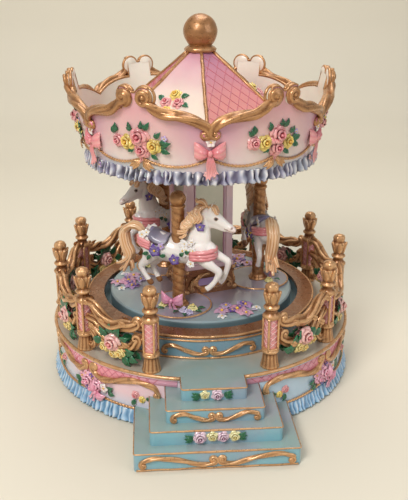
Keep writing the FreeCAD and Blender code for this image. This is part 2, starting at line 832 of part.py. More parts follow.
def build_canopy():
    valance = canopy_valance()
    roof = canopy_roof()
    export("canopy_ceiling", canopy_ceiling())
    export("canopy_valance", valance)
    export("canopy_scrolls", group(canopy_scrolls(valance)))
    export("canopy_ruffle", canopy_ruffle())
    export("canopy_roof", roof)
    export("roof_ribs", group(roof_ribs(roof, finial_collar())))
    export("finial_collar", finial_collar())
    export("finial_ball", finial_ball())


os.makedirs("parts", exist_ok=True)
build_base()
build_movement()
build_carousel()
build_canopy()
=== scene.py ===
import math
import random

import bmesh
import bpy
from mathutils import Matrix, Vector


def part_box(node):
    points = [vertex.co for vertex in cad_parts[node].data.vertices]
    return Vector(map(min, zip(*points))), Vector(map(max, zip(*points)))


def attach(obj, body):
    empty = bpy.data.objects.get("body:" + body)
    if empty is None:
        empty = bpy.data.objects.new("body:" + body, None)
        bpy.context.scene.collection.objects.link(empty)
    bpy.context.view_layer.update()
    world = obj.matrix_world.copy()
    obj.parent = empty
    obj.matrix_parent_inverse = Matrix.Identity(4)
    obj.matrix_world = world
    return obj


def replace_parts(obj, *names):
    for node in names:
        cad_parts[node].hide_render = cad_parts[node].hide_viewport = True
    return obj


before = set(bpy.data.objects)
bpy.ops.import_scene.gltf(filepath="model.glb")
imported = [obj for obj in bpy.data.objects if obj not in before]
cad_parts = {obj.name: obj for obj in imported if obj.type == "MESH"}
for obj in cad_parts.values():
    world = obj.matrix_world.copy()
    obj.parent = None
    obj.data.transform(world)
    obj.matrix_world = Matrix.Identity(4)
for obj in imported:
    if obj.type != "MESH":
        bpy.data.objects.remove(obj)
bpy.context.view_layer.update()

MM = 0.001
TAU = 2 * math.pi


# ---------------------------------------------------------------- sizes, in millimetres, from the frame
def lowest(node):
    return [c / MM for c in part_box(node)[0]]


def highest(node):
    return [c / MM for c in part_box(node)[1]]


DECK_R = highest("base_drum")[0]
DECK_TOP = highest("base_drum")[2]
DRUM_R = DECK_R - 1.8
RUFFLE_TOP = highest("base_ruffle")[2]
RUFFLE_LOW = lowest("base_ruffle")[2]
STAGE_R = highest("stage_riser")[0]
STAGE_WALL_TOP = highest("stage_riser")[2]
RING_R = highest("stage_ring")[0]
RING_TOP = highest("stage_ring")[2]
TABLE_TOP = highest("turntable")[2]
PLATE_TOP = highest("horse_plate_1")[2]
POST_TOP = highest("fence_posts")[2]
FENCE_R = 79.6
POST_STEP = 31.6
POST_COUNT = 11
POST_ANGLES = [180 - POST_STEP * (POST_COUNT - 1) / 2 + POST_STEP * i for i in range(POST_COUNT)]
STEP_FRONTS = [115.3, 109.1, 102.3, 94.3]
STEP_HALVES = [39.2, 31.5, 23.6, 16.0]
STEP_TOPS = [9.5, 17.0, 23.9, DECK_TOP]
HORSE_R = 34.2
HORSE_COUNT = 3
HORSE_ANGLES = [-24.4 + 120 * i for i in range(HORSE_COUNT)]
POLE_R = 3.6
POLE_BALL_R = 4.45
POLE_TOP = highest("pole_1")[2]
COLUMN_TURN = 18.0
COLUMN_HALF = 13.0
CANOPY_LOW = lowest("canopy_valance")[2]
CANOPY_R = 60.1
CANOPY_FLARE = 0.2246
CANOPY_WALL = 2.6
LOBES = 6
LOBE_ANGLES = [30 + 60 * k for k in range(LOBES)]
PANEL_COS = math.cos(math.pi / LOBES)
SEAM_TOP = 151.3
SHOULDER_TOP = 158.2
CURL_HEIGHT = 164.0
CURL_OFFSET = 5.2
CURL_R = 4.8
ROOF_LOW = 136.0
ROOF_R = 60.2
ROOF_TOP = highest("canopy_roof")[2]
ROOF_TOP_R = 7.6
FINIAL_R = (highest("finial_ball")[0] - lowest("finial_ball")[0]) / 2
FINIAL_HEIGHT = highest("finial_ball")[2] - FINIAL_R


# ---------------------------------------------------------------- colours
def hue(code):
    """Linear colour from a hex code."""
    channels = [int(code[i:i + 2], 16) / 255 for i in (0, 2, 4)]
    return tuple(((c + 0.055) / 1.055) ** 2.4 if c > 0.04 else c / 12.92 for c in channels)


def mixed(a, b, share):
    share = min(max(share, 0.0), 1.0)
    return tuple(x + (y - x) * share for x, y in zip(a, b))


PINK = hue("E27C9B")
DEEP_PINK = hue("C94560")
PALE_PINK = hue("F4B2AE")
YELLOW = hue("EDBE2F")
PALE_YELLOW = hue("F9E383")
LEAF = hue("0B4A2C")
LEAF_TIP = hue("2F8456")
WHITE = hue("F4EFEA")
VIOLET = hue("5B3C96")
LILAC = hue("B79ACB")
HORSE_WHITE = hue("EFE9E4")
CARAMEL = hue("D08F55")
PALE_CARAMEL = hue("F8D6B0")
DARK = hue("20140F")
CORAL_PAIR = (DEEP_PINK, PALE_PINK)
YELLOW_PAIR = (hue("E0A01E"), PALE_YELLOW)


# ---------------------------------------------------------------- node materials
class Nodes:
    """Short names for building one node material."""

    def __init__(self, name, **sockets):
        self.material = bpy.data.materials.new(name)
        self.material.use_nodes = True
        self.tree = self.material.node_tree
        self.shader = self.tree.nodes["Principled BSDF"]
        for key, value in sockets.items():
            self.shader.inputs[key.replace("_", " ")].default_value = value

    def node(self, kind, **inputs):
        made = self.tree.nodes.new(kind)
        for key, value in inputs.items():
            socket = made.inputs[int(key[1:])] if key[0] == "i" and key[1:].isdigit() else made.inputs[key]
            if isinstance(value, bpy.types.NodeSocket):
                self.tree.links.new(value, socket)
            else:
                socket.default_value = value
        return made

    def math(self, operation, a, b=0.0):
        made = self.node("ShaderNodeMath", i0=a, i1=b)
        made.operation = operation
        return made.outputs[0]

    def place(self):
        return self.tree.nodes.new("ShaderNodeTexCoord").outputs["Object"]

    def axes(self):
        return self.node("ShaderNodeSeparateXYZ", i0=self.place()).outputs

    def noise(self, scale, detail=4.0, roughness=0.55):
        return self.node("ShaderNodeTexNoise", Vector=self.place(), Scale=scale, Detail=detail,
                         Roughness=roughness).outputs["Fac"]

    def clouded(self, value, scale, amount):
        """The value, moved up or down by soft clouds so that a colour change has no hard line."""
        cloud = self.math("SUBTRACT", self.noise(scale, 3), 0.5)
        return self.math("ADD", value, self.math("MULTIPLY", cloud, amount))

    def ramp(self, value, stops):
        made = self.node("ShaderNodeValToRGB", Fac=value)
        marks = made.color_ramp.elements
        while len(marks) < len(stops):
            marks.new(0.5)
        for mark, (at, colour) in zip(marks, stops):
            mark.position = at
            mark.color = (*colour, 1) if len(colour) == 3 else colour
        return made.outputs["Color"]

    def span(self, value, low, high, start=0.0, end=1.0):
        """The value's share of the way from low to high, given out as start to end."""
        return self.node("ShaderNodeMapRange", Value=value, i1=low, i2=high, i3=start, i4=end).outputs[0]

    def mix(self, share, a, b, way="MIX"):
        made = self.tree.nodes.new("ShaderNodeMix")
        made.data_type = "RGBA"
        made.blend_type = way
        for socket, value in ((made.inputs[0], share), (made.inputs[6], a), (made.inputs[7], b)):
            if isinstance(value, bpy.types.NodeSocket):
                self.tree.links.new(value, socket)
            elif isinstance(value, tuple):
                socket.default_value = (*value, 1)
            else:
                socket.default_value = value
        return made.outputs[2]

    def crevice(self, low=0.45, high=0.53):
        """From 0 in grooves to 1 on edges."""
        point = self.tree.nodes.new("ShaderNodeNewGeometry").outputs["Pointiness"]
        return self.span(point, low, high)

    def finish(self, colour=None, roughness=None, bump=None, strength=0.2, distance=0.0004):
        if colour is not None:
            self.tree.links.new(colour, self.shader.inputs["Base Color"])
        if roughness is not None:
            self.tree.links.new(roughness, self.shader.inputs["Roughness"])
        if bump is not None:
            made = self.node("ShaderNodeBump", Height=bump, Strength=strength, Distance=distance)
            self.tree.links.new(made.outputs[0], self.shader.inputs["Normal"])
        return self.material


def gold_material(name="gold_with_painted_shade", light="DEAE7C", mid="99663B", dark="341A0B", metal=0.6, relief=True):
    """Gold paint: on relief, a painted highlight on raised edges and painted shade, brown, in the grooves;
    without relief the same tones lie in random clouds.
    """
    n = Nodes(name, Metallic=metal, Coat_Weight=0.4, Coat_Roughness=0.14)
    patches = n.noise(160)
    # on relief the tone follows pointiness: painted shade in the grooves, painted highlight on the edges
    height = n.crevice() if relief else n.span(n.noise(50, 4), 0.2, 0.85)
    base = n.ramp(height, [(0.0, hue(dark)), (0.42, hue(mid)), (1.0, hue(light))])
    colour = n.mix(n.span(patches, 0.35, 0.7), base, n.mix(0.5, base, hue(mid)))
    return n.finish(colour, n.span(n.noise(420), 0.2, 0.95), n.noise(700, 3), 0.12, 0.0002)


def glazed(n, colour, relief=False):
    """Glossy hand-painted finish over any colour: faint brush marks, pits and, on relief, painted shade
    darkening the grooves.
    """
    brush = n.span(n.noise(75, 4), 0.25, 0.75, 0.95, 1.04)
    toned = n.mix(1.0, colour, n.node("ShaderNodeCombineColor", i0=brush, i1=brush, i2=brush).outputs[0],
                  "MULTIPLY")
    if relief:
        # painted shade: the relief goes darker in its grooves
        toned = n.mix(n.crevice(0.40, 0.50), n.mix(1.0, toned, (0.55, 0.47, 0.50), "MULTIPLY"), toned)
    rough = n.span(n.noise(110, 2), 0.3, 0.7, 0.29, 0.37)
    return n.finish(toned, rough, n.noise(90, 2), 0.10, 0.0002)


def resin(name, **sockets):
    settings = dict(Coat_Weight=0.5, Coat_Roughness=0.1, Subsurface_Weight=0.06, Subsurface_Scale=0.002)
    settings.update(sockets)
    return Nodes(name, **settings)


def painted_material():
    """Hand-painted relief: the colour is brushed on point by point, and painted shade darkens the grooves."""
    n = resin("painted_relief")
    paint = n.node("ShaderNodeAttribute")
    paint.attribute_name = "Paint"
    return glazed(n, paint.outputs["Color"], relief=True)


def wall_angle(n):
    """Angle round the axis from the front, in radians."""
    x, y = n.axes()[:2]
    return n.math("ARCTAN2", x, n.math("MULTIPLY", y, -1.0))


def drum_material():
    """Base casting: cream grey deck going teal at the front, and a pink to blue wall."""
    n = resin("base_drum_paint")
    x, y, z = n.axes()
    cloud = n.noise(38, 3)
    side = n.math("ADD", n.span(n.math("SINE", n.math("MULTIPLY", wall_angle(n), 3.0)), -1.2, 1.2),
                  n.math("MULTIPLY", n.math("SUBTRACT", cloud, 0.5), 0.7))
    high_wall = n.ramp(side, [(0.15, hue("E9C8CE")), (0.45, hue("D8D0DC")), (0.8, hue("B9D0E0"))])
    wall = n.mix(n.span(z, 0.006, 0.016), hue("B6D0E2"), high_wall)
    front = n.span(n.math("SUBTRACT", n.math("MULTIPLY", y, -1.0),
                          n.math("ABSOLUTE", n.math("MULTIPLY", x, 0.9))),
                   0.035, 0.062)
    deck = n.mix(front, hue("B9AC9A"), hue("8CA5A1"))
    deck = n.mix(n.span(cloud, 0.35, 0.75), deck, n.mix(0.35, deck, hue("ABA8A6")))
    return glazed(n, n.mix(n.span(z, 0.0295, 0.0301), wall, deck))


def blue_material(name, light="8EA6A2", deep="7FB0BC", tint="A096A6"):
    """Grey-blue paint: greyer on treads, bluer on upright faces, with a lilac cast here and there."""
    n = resin(name)
    up = n.node("ShaderNodeSeparateXYZ",
                i0=n.tree.nodes.new("ShaderNodeNewGeometry").outputs["Normal"]).outputs[2]
    base = n.mix(n.span(up, 0.3, 0.8), hue(deep), hue(light))
    colour = n.mix(n.math("MULTIPLY", n.span(n.noise(30, 3), 0.48, 0.75), 0.55), base, hue(tint))
    return glazed(n, colour)


def turntable_material():
    """Pale blue rim that goes lilac towards the column, and a side wall painted darker as shade."""
    n = resin("turntable_paint")
    x, y, z = n.axes()
    reach = n.math("SQRT", n.math("ADD", n.math("MULTIPLY", x, x), n.math("MULTIPLY", y, y)))
    top = n.ramp(n.span(n.clouded(reach, 45, 0.012), 0.012, 0.053),
                 [(0.0, hue("83737F")), (0.4, hue("998F9A")), (0.72, hue("99A4A8")),
                                               (1.0, hue("8DA1A5"))])
    # the side wall's darker blue-grey is painted shade in the groove round the turntable
    return glazed(n, n.mix(n.span(z, 0.0435, 0.0452), hue("667B80"), top))


def plate_material():
    n = resin("horse_plate_paint")
    colour = n.ramp(n.noise(60, 3), [(0.3, hue("8B8390")), (0.55, hue("9C949F")), (0.8, hue("929EA4"))])
    return glazed(n, colour)


def valance_material():
    """Canopy wall: blue-grey at the foot, cream in the lobes, pink above and lilac at the seams."""
    n = resin("canopy_wall_paint")
    seam = n.span(n.math("COSINE", n.math("MULTIPLY", wall_angle(n), 6.0)), -0.7, 1.0)
    height = n.clouded(n.axes()[2], 34, 0.012)
    lobe = n.ramp(n.span(height, 0.126, 0.158), [(0.0, hue("AEB8C2")), (0.16, hue("DFD2CC")),
                                                 (0.45, hue("E4C6BE")),
                                                 (1.0, hue("DFA6AC"))])
    edge = n.ramp(n.span(height, 0.126, 0.152), [(0.0, hue("B2B2C0")), (0.3, hue("DEBFC2")),
                                                 (0.65, hue("CC97A8")),
                                                 (1.0, hue("B87E9C"))])
    return glazed(n, n.mix(n.math("POWER", seam, 1.4), lobe, edge))


def cream_material():
    n = resin("canopy_lining_paint")
    colour = n.ramp(n.span(n.math("ADD", n.axes()[2], n.math("MULTIPLY", n.noise(40), 0.01)), 0.13, 0.17),
                    [(0.0, hue("B3AEB2")), (0.4, hue("CFC6BB")), (1.0, hue("E8DDCD"))])
    return glazed(n, colour)


def roof_material():
    """Roof panels, plain cream and lattice pink by turns, both going to lilac-pink at the top."""
    n = resin("canopy_roof_paint")
    share = n.span(n.clouded(n.axes()[2], 40, 0.014), 0.138, 0.176)
    plain = n.ramp(share, [(0.0, hue("E6DAC4")), (0.55, hue("E2CDBF")), (1.0, hue("D59AA8"))])
    pink = n.ramp(share, [(0.0, hue("DB9487")), (0.5, hue("D18985")), (1.0, hue("B67892"))])
    which = n.math("GREATER_THAN", n.math("SINE", n.math("MULTIPLY", wall_angle(n), 3.0)), 0.0)
    return glazed(n, n.mix(which, plain, pink))


def mirror_material():
    """Small old mirror with a faint haze in patches."""
    n = Nodes("mirror_glass", Metallic=1.0, Coat_Weight=0.6, Coat_Roughness=0.02)
    haze = n.noise(55, 4)
    colour = n.ramp(haze, [(0.3, hue("A9ABA0")), (0.7, hue("BDBBB0"))])
    return n.finish(colour, n.span(haze, -1.2, 3.2), n.noise(30, 2), 0.04, 0.0002)


def metal_material(name, tint, rough=(0.22, 0.45), lines=(1, 1, 30)):
    """Machined metal with fine tool lines."""
    n = Nodes(name, Metallic=1.0)
    stretched = n.node("ShaderNodeMapping", Vector=n.place(), Scale=tuple(v * 40 for v in lines))
    grain = n.node("ShaderNodeTexNoise", Vector=stretched.outputs[0], Scale=8.0, Detail=4.0).outputs["Fac"]
    colour = n.mix(n.span(grain, 0.3, 0.75), hue(tint), mixed(hue(tint), (0, 0, 0), 0.28))
    shine = n.span(grain, 0.3, 0.7, *rough)
    return n.finish(colour, shine, grain, 0.08, 0.0001)


def felt_material():
    n = Nodes("green_felt", Sheen_Weight=0.6)
    fibre = n.noise(1500, 6, 0.7)
    colour = n.ramp(fibre, [(0.3, hue("12301F")), (0.6, hue("1E4A30")), (0.8, hue("2F6444"))])
    return n.finish(colour, n.span(fibre, -2.0, 1.1), fibre, 0.8, 0.0006)


def plastic_material(name, tint):
    n = Nodes(name)
    grain = n.noise(900, 3)
    colour = n.mix(n.span(n.noise(60, 3), 0.3, 0.7), hue(tint), mixed(hue(tint), (0.5, 0.5, 0.5), 0.12))
    return n.finish(colour, n.span(grain, 0.3, 0.7, 0.42, 0.6), grain, 0.25, 0.0002)


def column_material():
    """Pink paint with paler and more lilac clouds."""
    n = resin("column_paint")
    colour = n.ramp(n.noise(30, 3), [(0.3, hue("DDB4C2")), (0.55, hue("E8C9D1")), (0.8, hue("D2C2D8"))])
    return glazed(n, colour)


GOLD = gold_material()
# darker copy of the gold for the canopy, finial, roof ribs and poles: painted shade for the dimmer light on
# them
SHADED_GOLD = gold_material("gold_darkened_as_shade", "C59261", "87562F", "34190A")
RING_GOLD = gold_material("stage_bronze", "A87249", "8C5B38", "6B4226", 0.5, False)
PAINTED = painted_material()
CREAM_LINING = cream_material()
VALANCE_PAINT = valance_material()


# ---------------------------------------------------------------- mesh building
def new_object(name, data):
    """Object that shows the data, linked to the scene."""
    made = bpy.data.objects.new(name, data)
    bpy.context.scene.collection.objects.link(made)
    return made


class Sculpt:
    """Gathers surfaces, in millimetres, into one object with its paint brushed on point by point."""

    def __init__(self, *materials):
        self.materials = materials or (GOLD, PAINTED)
        self.points = []
        self.paint = []
        self.faces = []
        self.slots = []

    def surface(self, rows, colour=WHITE, slot=0, wrap=False, caps=False):
        """Skin over rows of points; colour is one colour or a function of the row and column shares."""
        first = len(self.points)
        count = len(rows[0])
        for i, row in enumerate(rows):
            for j, point in enumerate(row):
                self.points.append(point)
                share = (i / (len(rows) - 1), j / (count if wrap else count - 1))
                self.paint.append(colour(*share) if callable(colour) else colour)
        for i in range(len(rows) - 1):
            for j in range(count if wrap else count - 1):
                a = first + i * count + j
                b = first + i * count + (j + 1) % count
                self.faces.append((a, b, b + count, a + count))
                self.slots.append(slot)
        if caps:
            for row, flip in ((0, True), (len(rows) - 1, False)):
                loop = [first + row * count + j for j in range(count)]
                self.faces.append(tuple(loop[::-1]) if flip else tuple(loop))
                self.slots.append(slot)

    def sheet(self, rows, back, colour, slot=1):
        """A thin closed leaf of material: the rows, and the same rows moved back."""
        count = len(rows[0])

        def shade(s, t):
            k = t * 2 * count
            return colour(s, min(k if k < count else 2 * count - 1 - k, count - 1) / (count - 1))
        self.surface([row + [p + back for p in row[::-1]] for row in rows], shade, slot, wrap=True,
                     caps=True)

    def object(self, name, body=None, slot_name=None):
        """Object of everything gathered; it rides its body unless ride_copies is to place it."""
        mesh = bpy.data.meshes.new(name)
        mesh.from_pydata([[c * MM for c in p] for p in self.points], [], self.faces)
        for material in self.materials:
            mesh.materials.append(material)
        mesh.polygons.foreach_set("material_index", self.slots)
        mesh.polygons.foreach_set("use_smooth", [True] * len(mesh.polygons))
        paint = mesh.color_attributes.new("Paint", "FLOAT_COLOR", "POINT")
        paint.data.foreach_set("color", [c for colour in self.paint for c in (*colour, 1.0)])
        outward = bmesh.new()
        outward.from_mesh(mesh)
        bmesh.ops.recalc_face_normals(outward, faces=outward.faces)
        outward.to_mesh(mesh)
        outward.free()
        made = new_object(name, mesh)
        if body:
            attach(made, body)
        return made


def ride_copies(original, name, angles, body, replaced=None):
    """Turned copies, numbered from 1, of an object built at the front; replaced has one node for each."""
    for i, angle in enumerate(angles):
        made = new_object(name, original.data) if i else original
        made.name = f"{name}_{i + 1}"
        made.matrix_world = Matrix.Rotation(math.radians(angle), 4, "Z")
        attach(made, body)
        if replaced:
            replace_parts(made, replaced[i])


def around(radius, angle, height):
    a = math.radians(angle)
    return Vector((radius * math.sin(a), -radius * math.cos(a), height))


def facing(angle):
    """Outward and sideways directions at an angle round the axis."""
    return around(1, angle, 0), around(1, angle + 90, 0)


def on_round(angle, radius):
    """Place on an upright round wall: u along it, v is the height, h is proud of it."""
    def place(u, v, h=0.0):
        r = radius(v) if callable(radius) else radius
        return around(r + h, angle + math.degrees(u / r), v)
    return place


def on_plane(origin, across, up):
    """Place on a flat face: u across it, v up it, h proud of it."""
    origin, across, up = Vector(origin), Vector(across).normalized(), Vector(up).normalized()
    out = across.cross(up)

    def place(u, v, h=0.0):
        return origin + across * u + up * v + out * h
    return place


def spot(place, u, v, h=0.0, turn=0.0):
    """Centre, across, up and out directions at one point of a place."""
    centre = place(u, v, h)
    across = (place(u + 0.5, v, h) - place(u - 0.5, v, h)).normalized()
    out = (place(u, v, h + 1) - centre).normalized()
    up = out.cross(across)
    a = math.radians(turn)
    return centre, across * math.cos(a) + up * math.sin(a), up * math.cos(a) - across * math.sin(a), out


def spline(a, b, c, d, t):
    """Value at share t of the way from b to c on the smooth curve through all four."""
    return 0.5 * (2 * b + (c - a) * t + (2 * a - 5 * b + 4 * c - d) * t * t + (3 * b - a - 3 * c + d)
                  * t ** 3)


def smooth_line(points, steps=8):
    """Smooth curve through a few points."""
    points = [Vector(p) for p in points]
    ends = [2 * points[0] - points[1]] + points + [2 * points[-1] - points[-2]]
    line = []
    for a, b, c, d in zip(ends, ends[1:], ends[2:], ends[3:]):
        line += [spline(a, b, c, d, i / steps) for i in range(steps)]
    return line + [points[-1]]


def curl_on(line, radius, turns, way, tip=0.3):
    """The line carried on into a closing curl; way is 1 to turn left and -1 to turn right."""
    line = list(line)
    heading = math.atan2(line[-1].y - line[-2].y, line[-1].x - line[-2].x)
    steps = int(14 * turns)
    turn = TAU * turns / steps
    for i in range(steps):
        heading += way * turn
        reach = turn * (radius + (tip - radius) * ((i + 1) / steps) ** 0.8)
        line.append(line[-1] + Vector((math.cos(heading), math.sin(heading))) * reach)
    return line


def flourish(points, start=None, end=None, steps=8):
    """Scroll line in (u, v) through a few points, with a curl (radius, turns, way) at either end."""
    line = smooth_line([Vector(p) for p in points], steps)
    if end:
        line = curl_on(line, *end)
    if start:
        radius, turns, way = start
        line = curl_on(line[::-1], radius, turns, -way)[::-1]
    return line


def ahead(path, i):
    """Step from the point before one point of a path to the point after it."""
    return path[min(i + 1, len(path) - 1)] - path[max(i - 1, 0)]


def tube(sculpt, path, radius, colour=WHITE, slot=0, sides=10, out=None, flat=1.0):
    """Skin along a path; radius is a number or a function of (share, angle); out is the flat side's way."""
    rows = []
    side = None
    for i, point in enumerate(path):
        step = ahead(path, i)
        along = step.normalized() if step.length > 1e-9 else Vector((0, 0, 1))
        if out:
            side = along.cross(out[i]).normalized()
        elif side is None:
            side = along.cross(Vector((0.31, 0.52, 0.79))).normalized()
        else:
            side = (side - along * side.dot(along)).normalized()
        up = side.cross(along)
        row = []
        for j in range(sides):
            angle = TAU * j / sides
            share = i / (len(path) - 1)
            r = radius(share, angle) if callable(radius) else radius
            row.append(point + side * (r * math.cos(angle)) + up * (r * flat * math.sin(angle)))
        rows.append(row)
    sculpt.surface(rows, colour, slot, wrap=True, caps=True)


def blob(sculpt, centre, size, colour=WHITE, slot=0, rings=8, sides=12, axes=None):
    """Rounded lump; size is one radius or three along the axes."""
    size = size if isinstance(size, tuple) else (size,) * 3
    x, y, z = axes or (Vector((1, 0, 0)), Vector((0, 1, 0)), Vector((0, 0, 1)))
    rows = []
    for i in range(rings + 1):
        tilt = math.pi * (0.02 + 0.96 * i / rings)
        rows.append([centre + x * (size[0] * math.sin(tilt) * math.cos(TAU * j / sides))
                     + y * (size[1] * math.sin(tilt) * math.sin(TAU * j / sides))
                     - z * (size[2] * math.cos(tilt)) for j in range(sides)])
    sculpt.surface(rows, colour, slot, wrap=True, caps=True)


def lathe(sculpt, outline, colour=WHITE, slot=0, sides=48, centre=(0, 0), wave=None):
    """Turned surface from (radius, height) points; wave changes the radius by (height, angle)."""
    rows = []
    for r, z in outline:
        row = []
        for j in range(sides):
            angle = TAU * j / sides
            reach = r * (wave(z, angle) if wave else 1.0)
            row.append(Vector((centre[0] + reach * math.cos(angle), centre[1] + reach * math.sin(angle),
                               z)))
        rows.append(row)
    sculpt.surface(rows, colour, slot, wrap=True, caps=True)


# ---------------------------------------------------------------- cast ornaments
ROSE_RINGS = [(5, 1.0, 0.30, 0.0), (4, 0.76, 0.58, 0.45), (3, 0.47, 0.84, 0.2)]


def rose(sculpt, at, size, heart, rim, slot=1):
    """Open rose: rings of cupped petals round a rolled bud."""
    centre, across, up, out = at

    # deep heart to pale rim is the roses' own paint; the darker petal sides are painted shade between the
    # petals
    def paint(s, t):
        return mixed(heart, rim, 0.1 + 1.05 * s ** 1.6 * (1 - 0.4 * (2 * t - 1) ** 2))
    for count, reach, lift, shift in ROSE_RINGS:
        for k in range(count):
            middle = TAU * (k + shift) / count + reach * 5
            half = math.pi / count * 1.2
            rows = []
            for i in range(6):
                s = i / 5
                row = []
                for j in range(7):
                    t = j / 3 - 1
                    a = middle + t * half * (0.55 + 0.45 * math.sin(s * math.pi * 0.62))
                    rho = size * reach * (0.12 + 0.88 * s ** 0.75) * (1 - 0.22 * t * t * s)
                    rise = size * (lift * math.sin(min(s * 1.25, 1.0) * math.pi * 0.5)
                                   - 0.22 * max(s - 0.7, 0) / 0.3 * (1.3 - lift) - 0.30 * t * t * s
                                   + 0.05 * math.sin(3 * t + count + k))
                    row.append(centre + across * (rho * math.cos(a)) + up * (rho * math.sin(a)) + out
                               * rise)
                rows.append(row)
            back = (across * math.cos(middle) + up * math.sin(middle)) * (size * 0.07) - out * (size * 0.09)
            sculpt.sheet(rows, back, paint, slot)
    bud = size * 0.16
    blob(sculpt, centre + out * (size * 0.60), (bud, bud, bud * 1.5), mixed(heart, rim, 0.45), slot, 5, 8,
         (across, up, out))
    blob(sculpt, centre, (size * 0.72, size * 0.72, size * 0.30), mixed(heart, rim, 0.35), slot, 5, 10,
         (across, up, out))


def blossom(sculpt, at, size, petal, heart, slot=1, petals=5):
    """Small flat flower with a beaded centre."""
    centre, across, up, out = at
    for k in range(petals):
        a = TAU * k / petals
        along = across * math.cos(a) + up * math.sin(a)
        aside = up * math.cos(a) - across * math.sin(a)
        rows = []
        for i in range(5):
            s = i / 4
            width = size * 0.42 * math.sin(math.pi * (0.12 + 0.80 * s))
            rows.append([centre + along * (size * (0.1 + 0.9 * s) * (1 - 0.10 * t * t)) + aside
                         * (width * t)
                         + out * (size * (0.12 + 0.16 * math.sin(s * math.pi) - 0.08 * (1 - t * t)))
                         for t in (-1, -0.5, 0, 0.5, 1)])
        sculpt.sheet(rows, out * (-size * 0.12), lambda s, t: mixed(heart, petal, 0.3 + s), slot)
    blob(sculpt, centre + out * (size * 0.20), size * 0.17, YELLOW, slot, 4, 7)
    blob(sculpt, centre, (size * 0.5, size * 0.5, size * 0.14), petal, slot, 4, 8, (across, up, out))


def leaf(sculpt, at, length, width, slot=1, tone=LEAF, edge=LEAF_TIP):
    """Leaf with a folded midrib and a notched edge, pointing along the spot's across direction."""
    centre, along, aside, out = at
    rows = []
    for i in range(9):
        s = i / 8
        half = width * 0.5 * math.sin(math.pi * min(s ** 0.7 * 0.97 + 0.03, 1.0)) * (1.12 if i % 2 else 0.9)
        rise = length * 0.20 * math.sin(math.pi * s * 0.9)
        rows.append([centre + along * (length * s) + aside * (half * t)
                     + out * (rise + 0.25 + width * 0.16 * abs(t) ** 0.8 - width * 0.10 * t * t)
                     for t in (-1, -0.55, 0, 0.55, 1)])
    thick = 0.09 * width + 0.1
    sculpt.sheet(rows, out * -thick, lambda s, t: mixed(tone, edge, 1.6 * abs(t - 0.5) ** 1.5 + 0.2 * s),
                 slot)


def roses(sculpt, place, marks, proud, rng):
    """Roses at (u, v, size, heart and rim) marks on a place, each turned by chance."""
    for u, v, size, tones in marks:
        rose(sculpt, spot(place, u, v, proud, rng.uniform(0, 360)), size, *tones)


def leaves(sculpt, place, marks, proud, length, width, **more):
    """Leaves of one size at (u, v, turn) marks on a place."""
    for u, v, turn in marks:
        leaf(sculpt, spot(place, u, v, proud, turn), length, width, **more)


def ribbon(sculpt, line, half, out, colour, slot=1, pleats=0.12, fork=0.0):
    """Flat ribbon along a line, with lengthwise folds."""
    rows = []
    for i, point in enumerate(line):
        s = i / (len(line) - 1)
        along = ahead(line, i).normalized()
        aside = along.cross(out).normalized()
        width = half(s) if callable(half) else half
        row = []
        for j in range(9):
            t = j / 4 - 1
            notch = along * (-fork * (1 - abs(t)) * (1 if i == len(line) - 1 else 0))
            row.append(point + aside * (width * t) + out * (pleats * width * math.cos(t * 7.5)) + notch)
        rows.append(row)
    sculpt.sheet(rows, out * -0.3, colour, slot)


def bow(sculpt, at, size, heart=DEEP_PINK, rim=PALE_PINK, tails=2, drop=1.5):
    """Ribbon bow: two pleated loops, a knot and two tails."""
    centre, across, up, out = at
    shade = (lambda s, t: mixed(heart, rim, 0.25 + 0.75 * s * (0.7 + 0.3 * math.cos(t * 18))))
    for side in (-1, 1):
        for layer, (lift, reach) in enumerate(((0.42, 1.0), (-0.28, 0.86))):
            rows = []
            for i in range(9):
                s = i / 8
                spread = size * (0.12 + 0.42 * math.sin(s * math.pi * 0.58)) * (1.0 if layer == 0 else 0.7)
                mid = centre + across * (side * size * reach * s) + up * (size * lift * s * s * 0.5)
                rise = size * (0.10 + 0.34 * math.sin(math.pi * min(s * 1.02,
                                                                    1)) * (1.0 if layer == 0 else 0.5))
                rows.append([mid + up * (spread * t) + out * (rise * (1 - 0.45 * t * t)
                             + size * 0.035 * math.cos(t * 9)) for t in [k / 5 - 1 for k in range(11)]])
            sculpt.sheet(rows, out * (-0.06 * size), shade)
    for side in [(-1, 1), (-1, 1, 0)][tails > 2]:
        # how far aside, how far down and how proud each point of the tail is, as shares of the bow's size
        shares = ((0.0, 0.0, 0.18), (side * 0.17 + 0.03, drop * 0.4, 0.24),
                  (side * 0.20 + 0.10, drop * 0.75, 0.13),
                  (side * 0.30 + 0.16, drop * (1 - 0.1 * side), 0.2))
        line = smooth_line([centre + across * (size * aside) - up * (size * down) + out * (size * proud)
                            for aside, down, proud in shares], 4)
        ribbon(sculpt, line, lambda s: size * (0.09 + 0.06 * s), out,
               lambda s, t: mixed(heart, rim, 0.4 + 0.6 * s), 1, 0.25, size * 0.14)
    blob(sculpt, centre + out * (size * 0.26), (size * 0.17, size * 0.22, size * 0.18),
         mixed(heart, rim, 0.6), 1, 6, 10, (across, up, out))


BEAD = 1.35


def scroll(sculpt, place, line, thick, lift=0.3, leafy=0.20, twist=9.0, flat=0.9, sides=14):
    """Cast gold scroll along a (u, v) line on a place: fat in the middle, fine in its curls."""
    path = [place(p.x, p.y, lift) for p in line]
    out = [(place(p.x, p.y, lift + 1) - place(p.x, p.y, lift)).normalized() for p in line]

    def radius(share, angle):
        body = 0.40 + 0.60 * math.sin(math.pi * share) ** 0.8
        return thick * body * (1 + leafy * math.cos(3 * angle - twist * share * TAU))
    tube(sculpt, path, radius, WHITE, 0, sides, out, flat)
    for end in (0, -1):
        blob(sculpt, path[end], thick * 0.5 * BEAD, WHITE, 0, 6, 10)


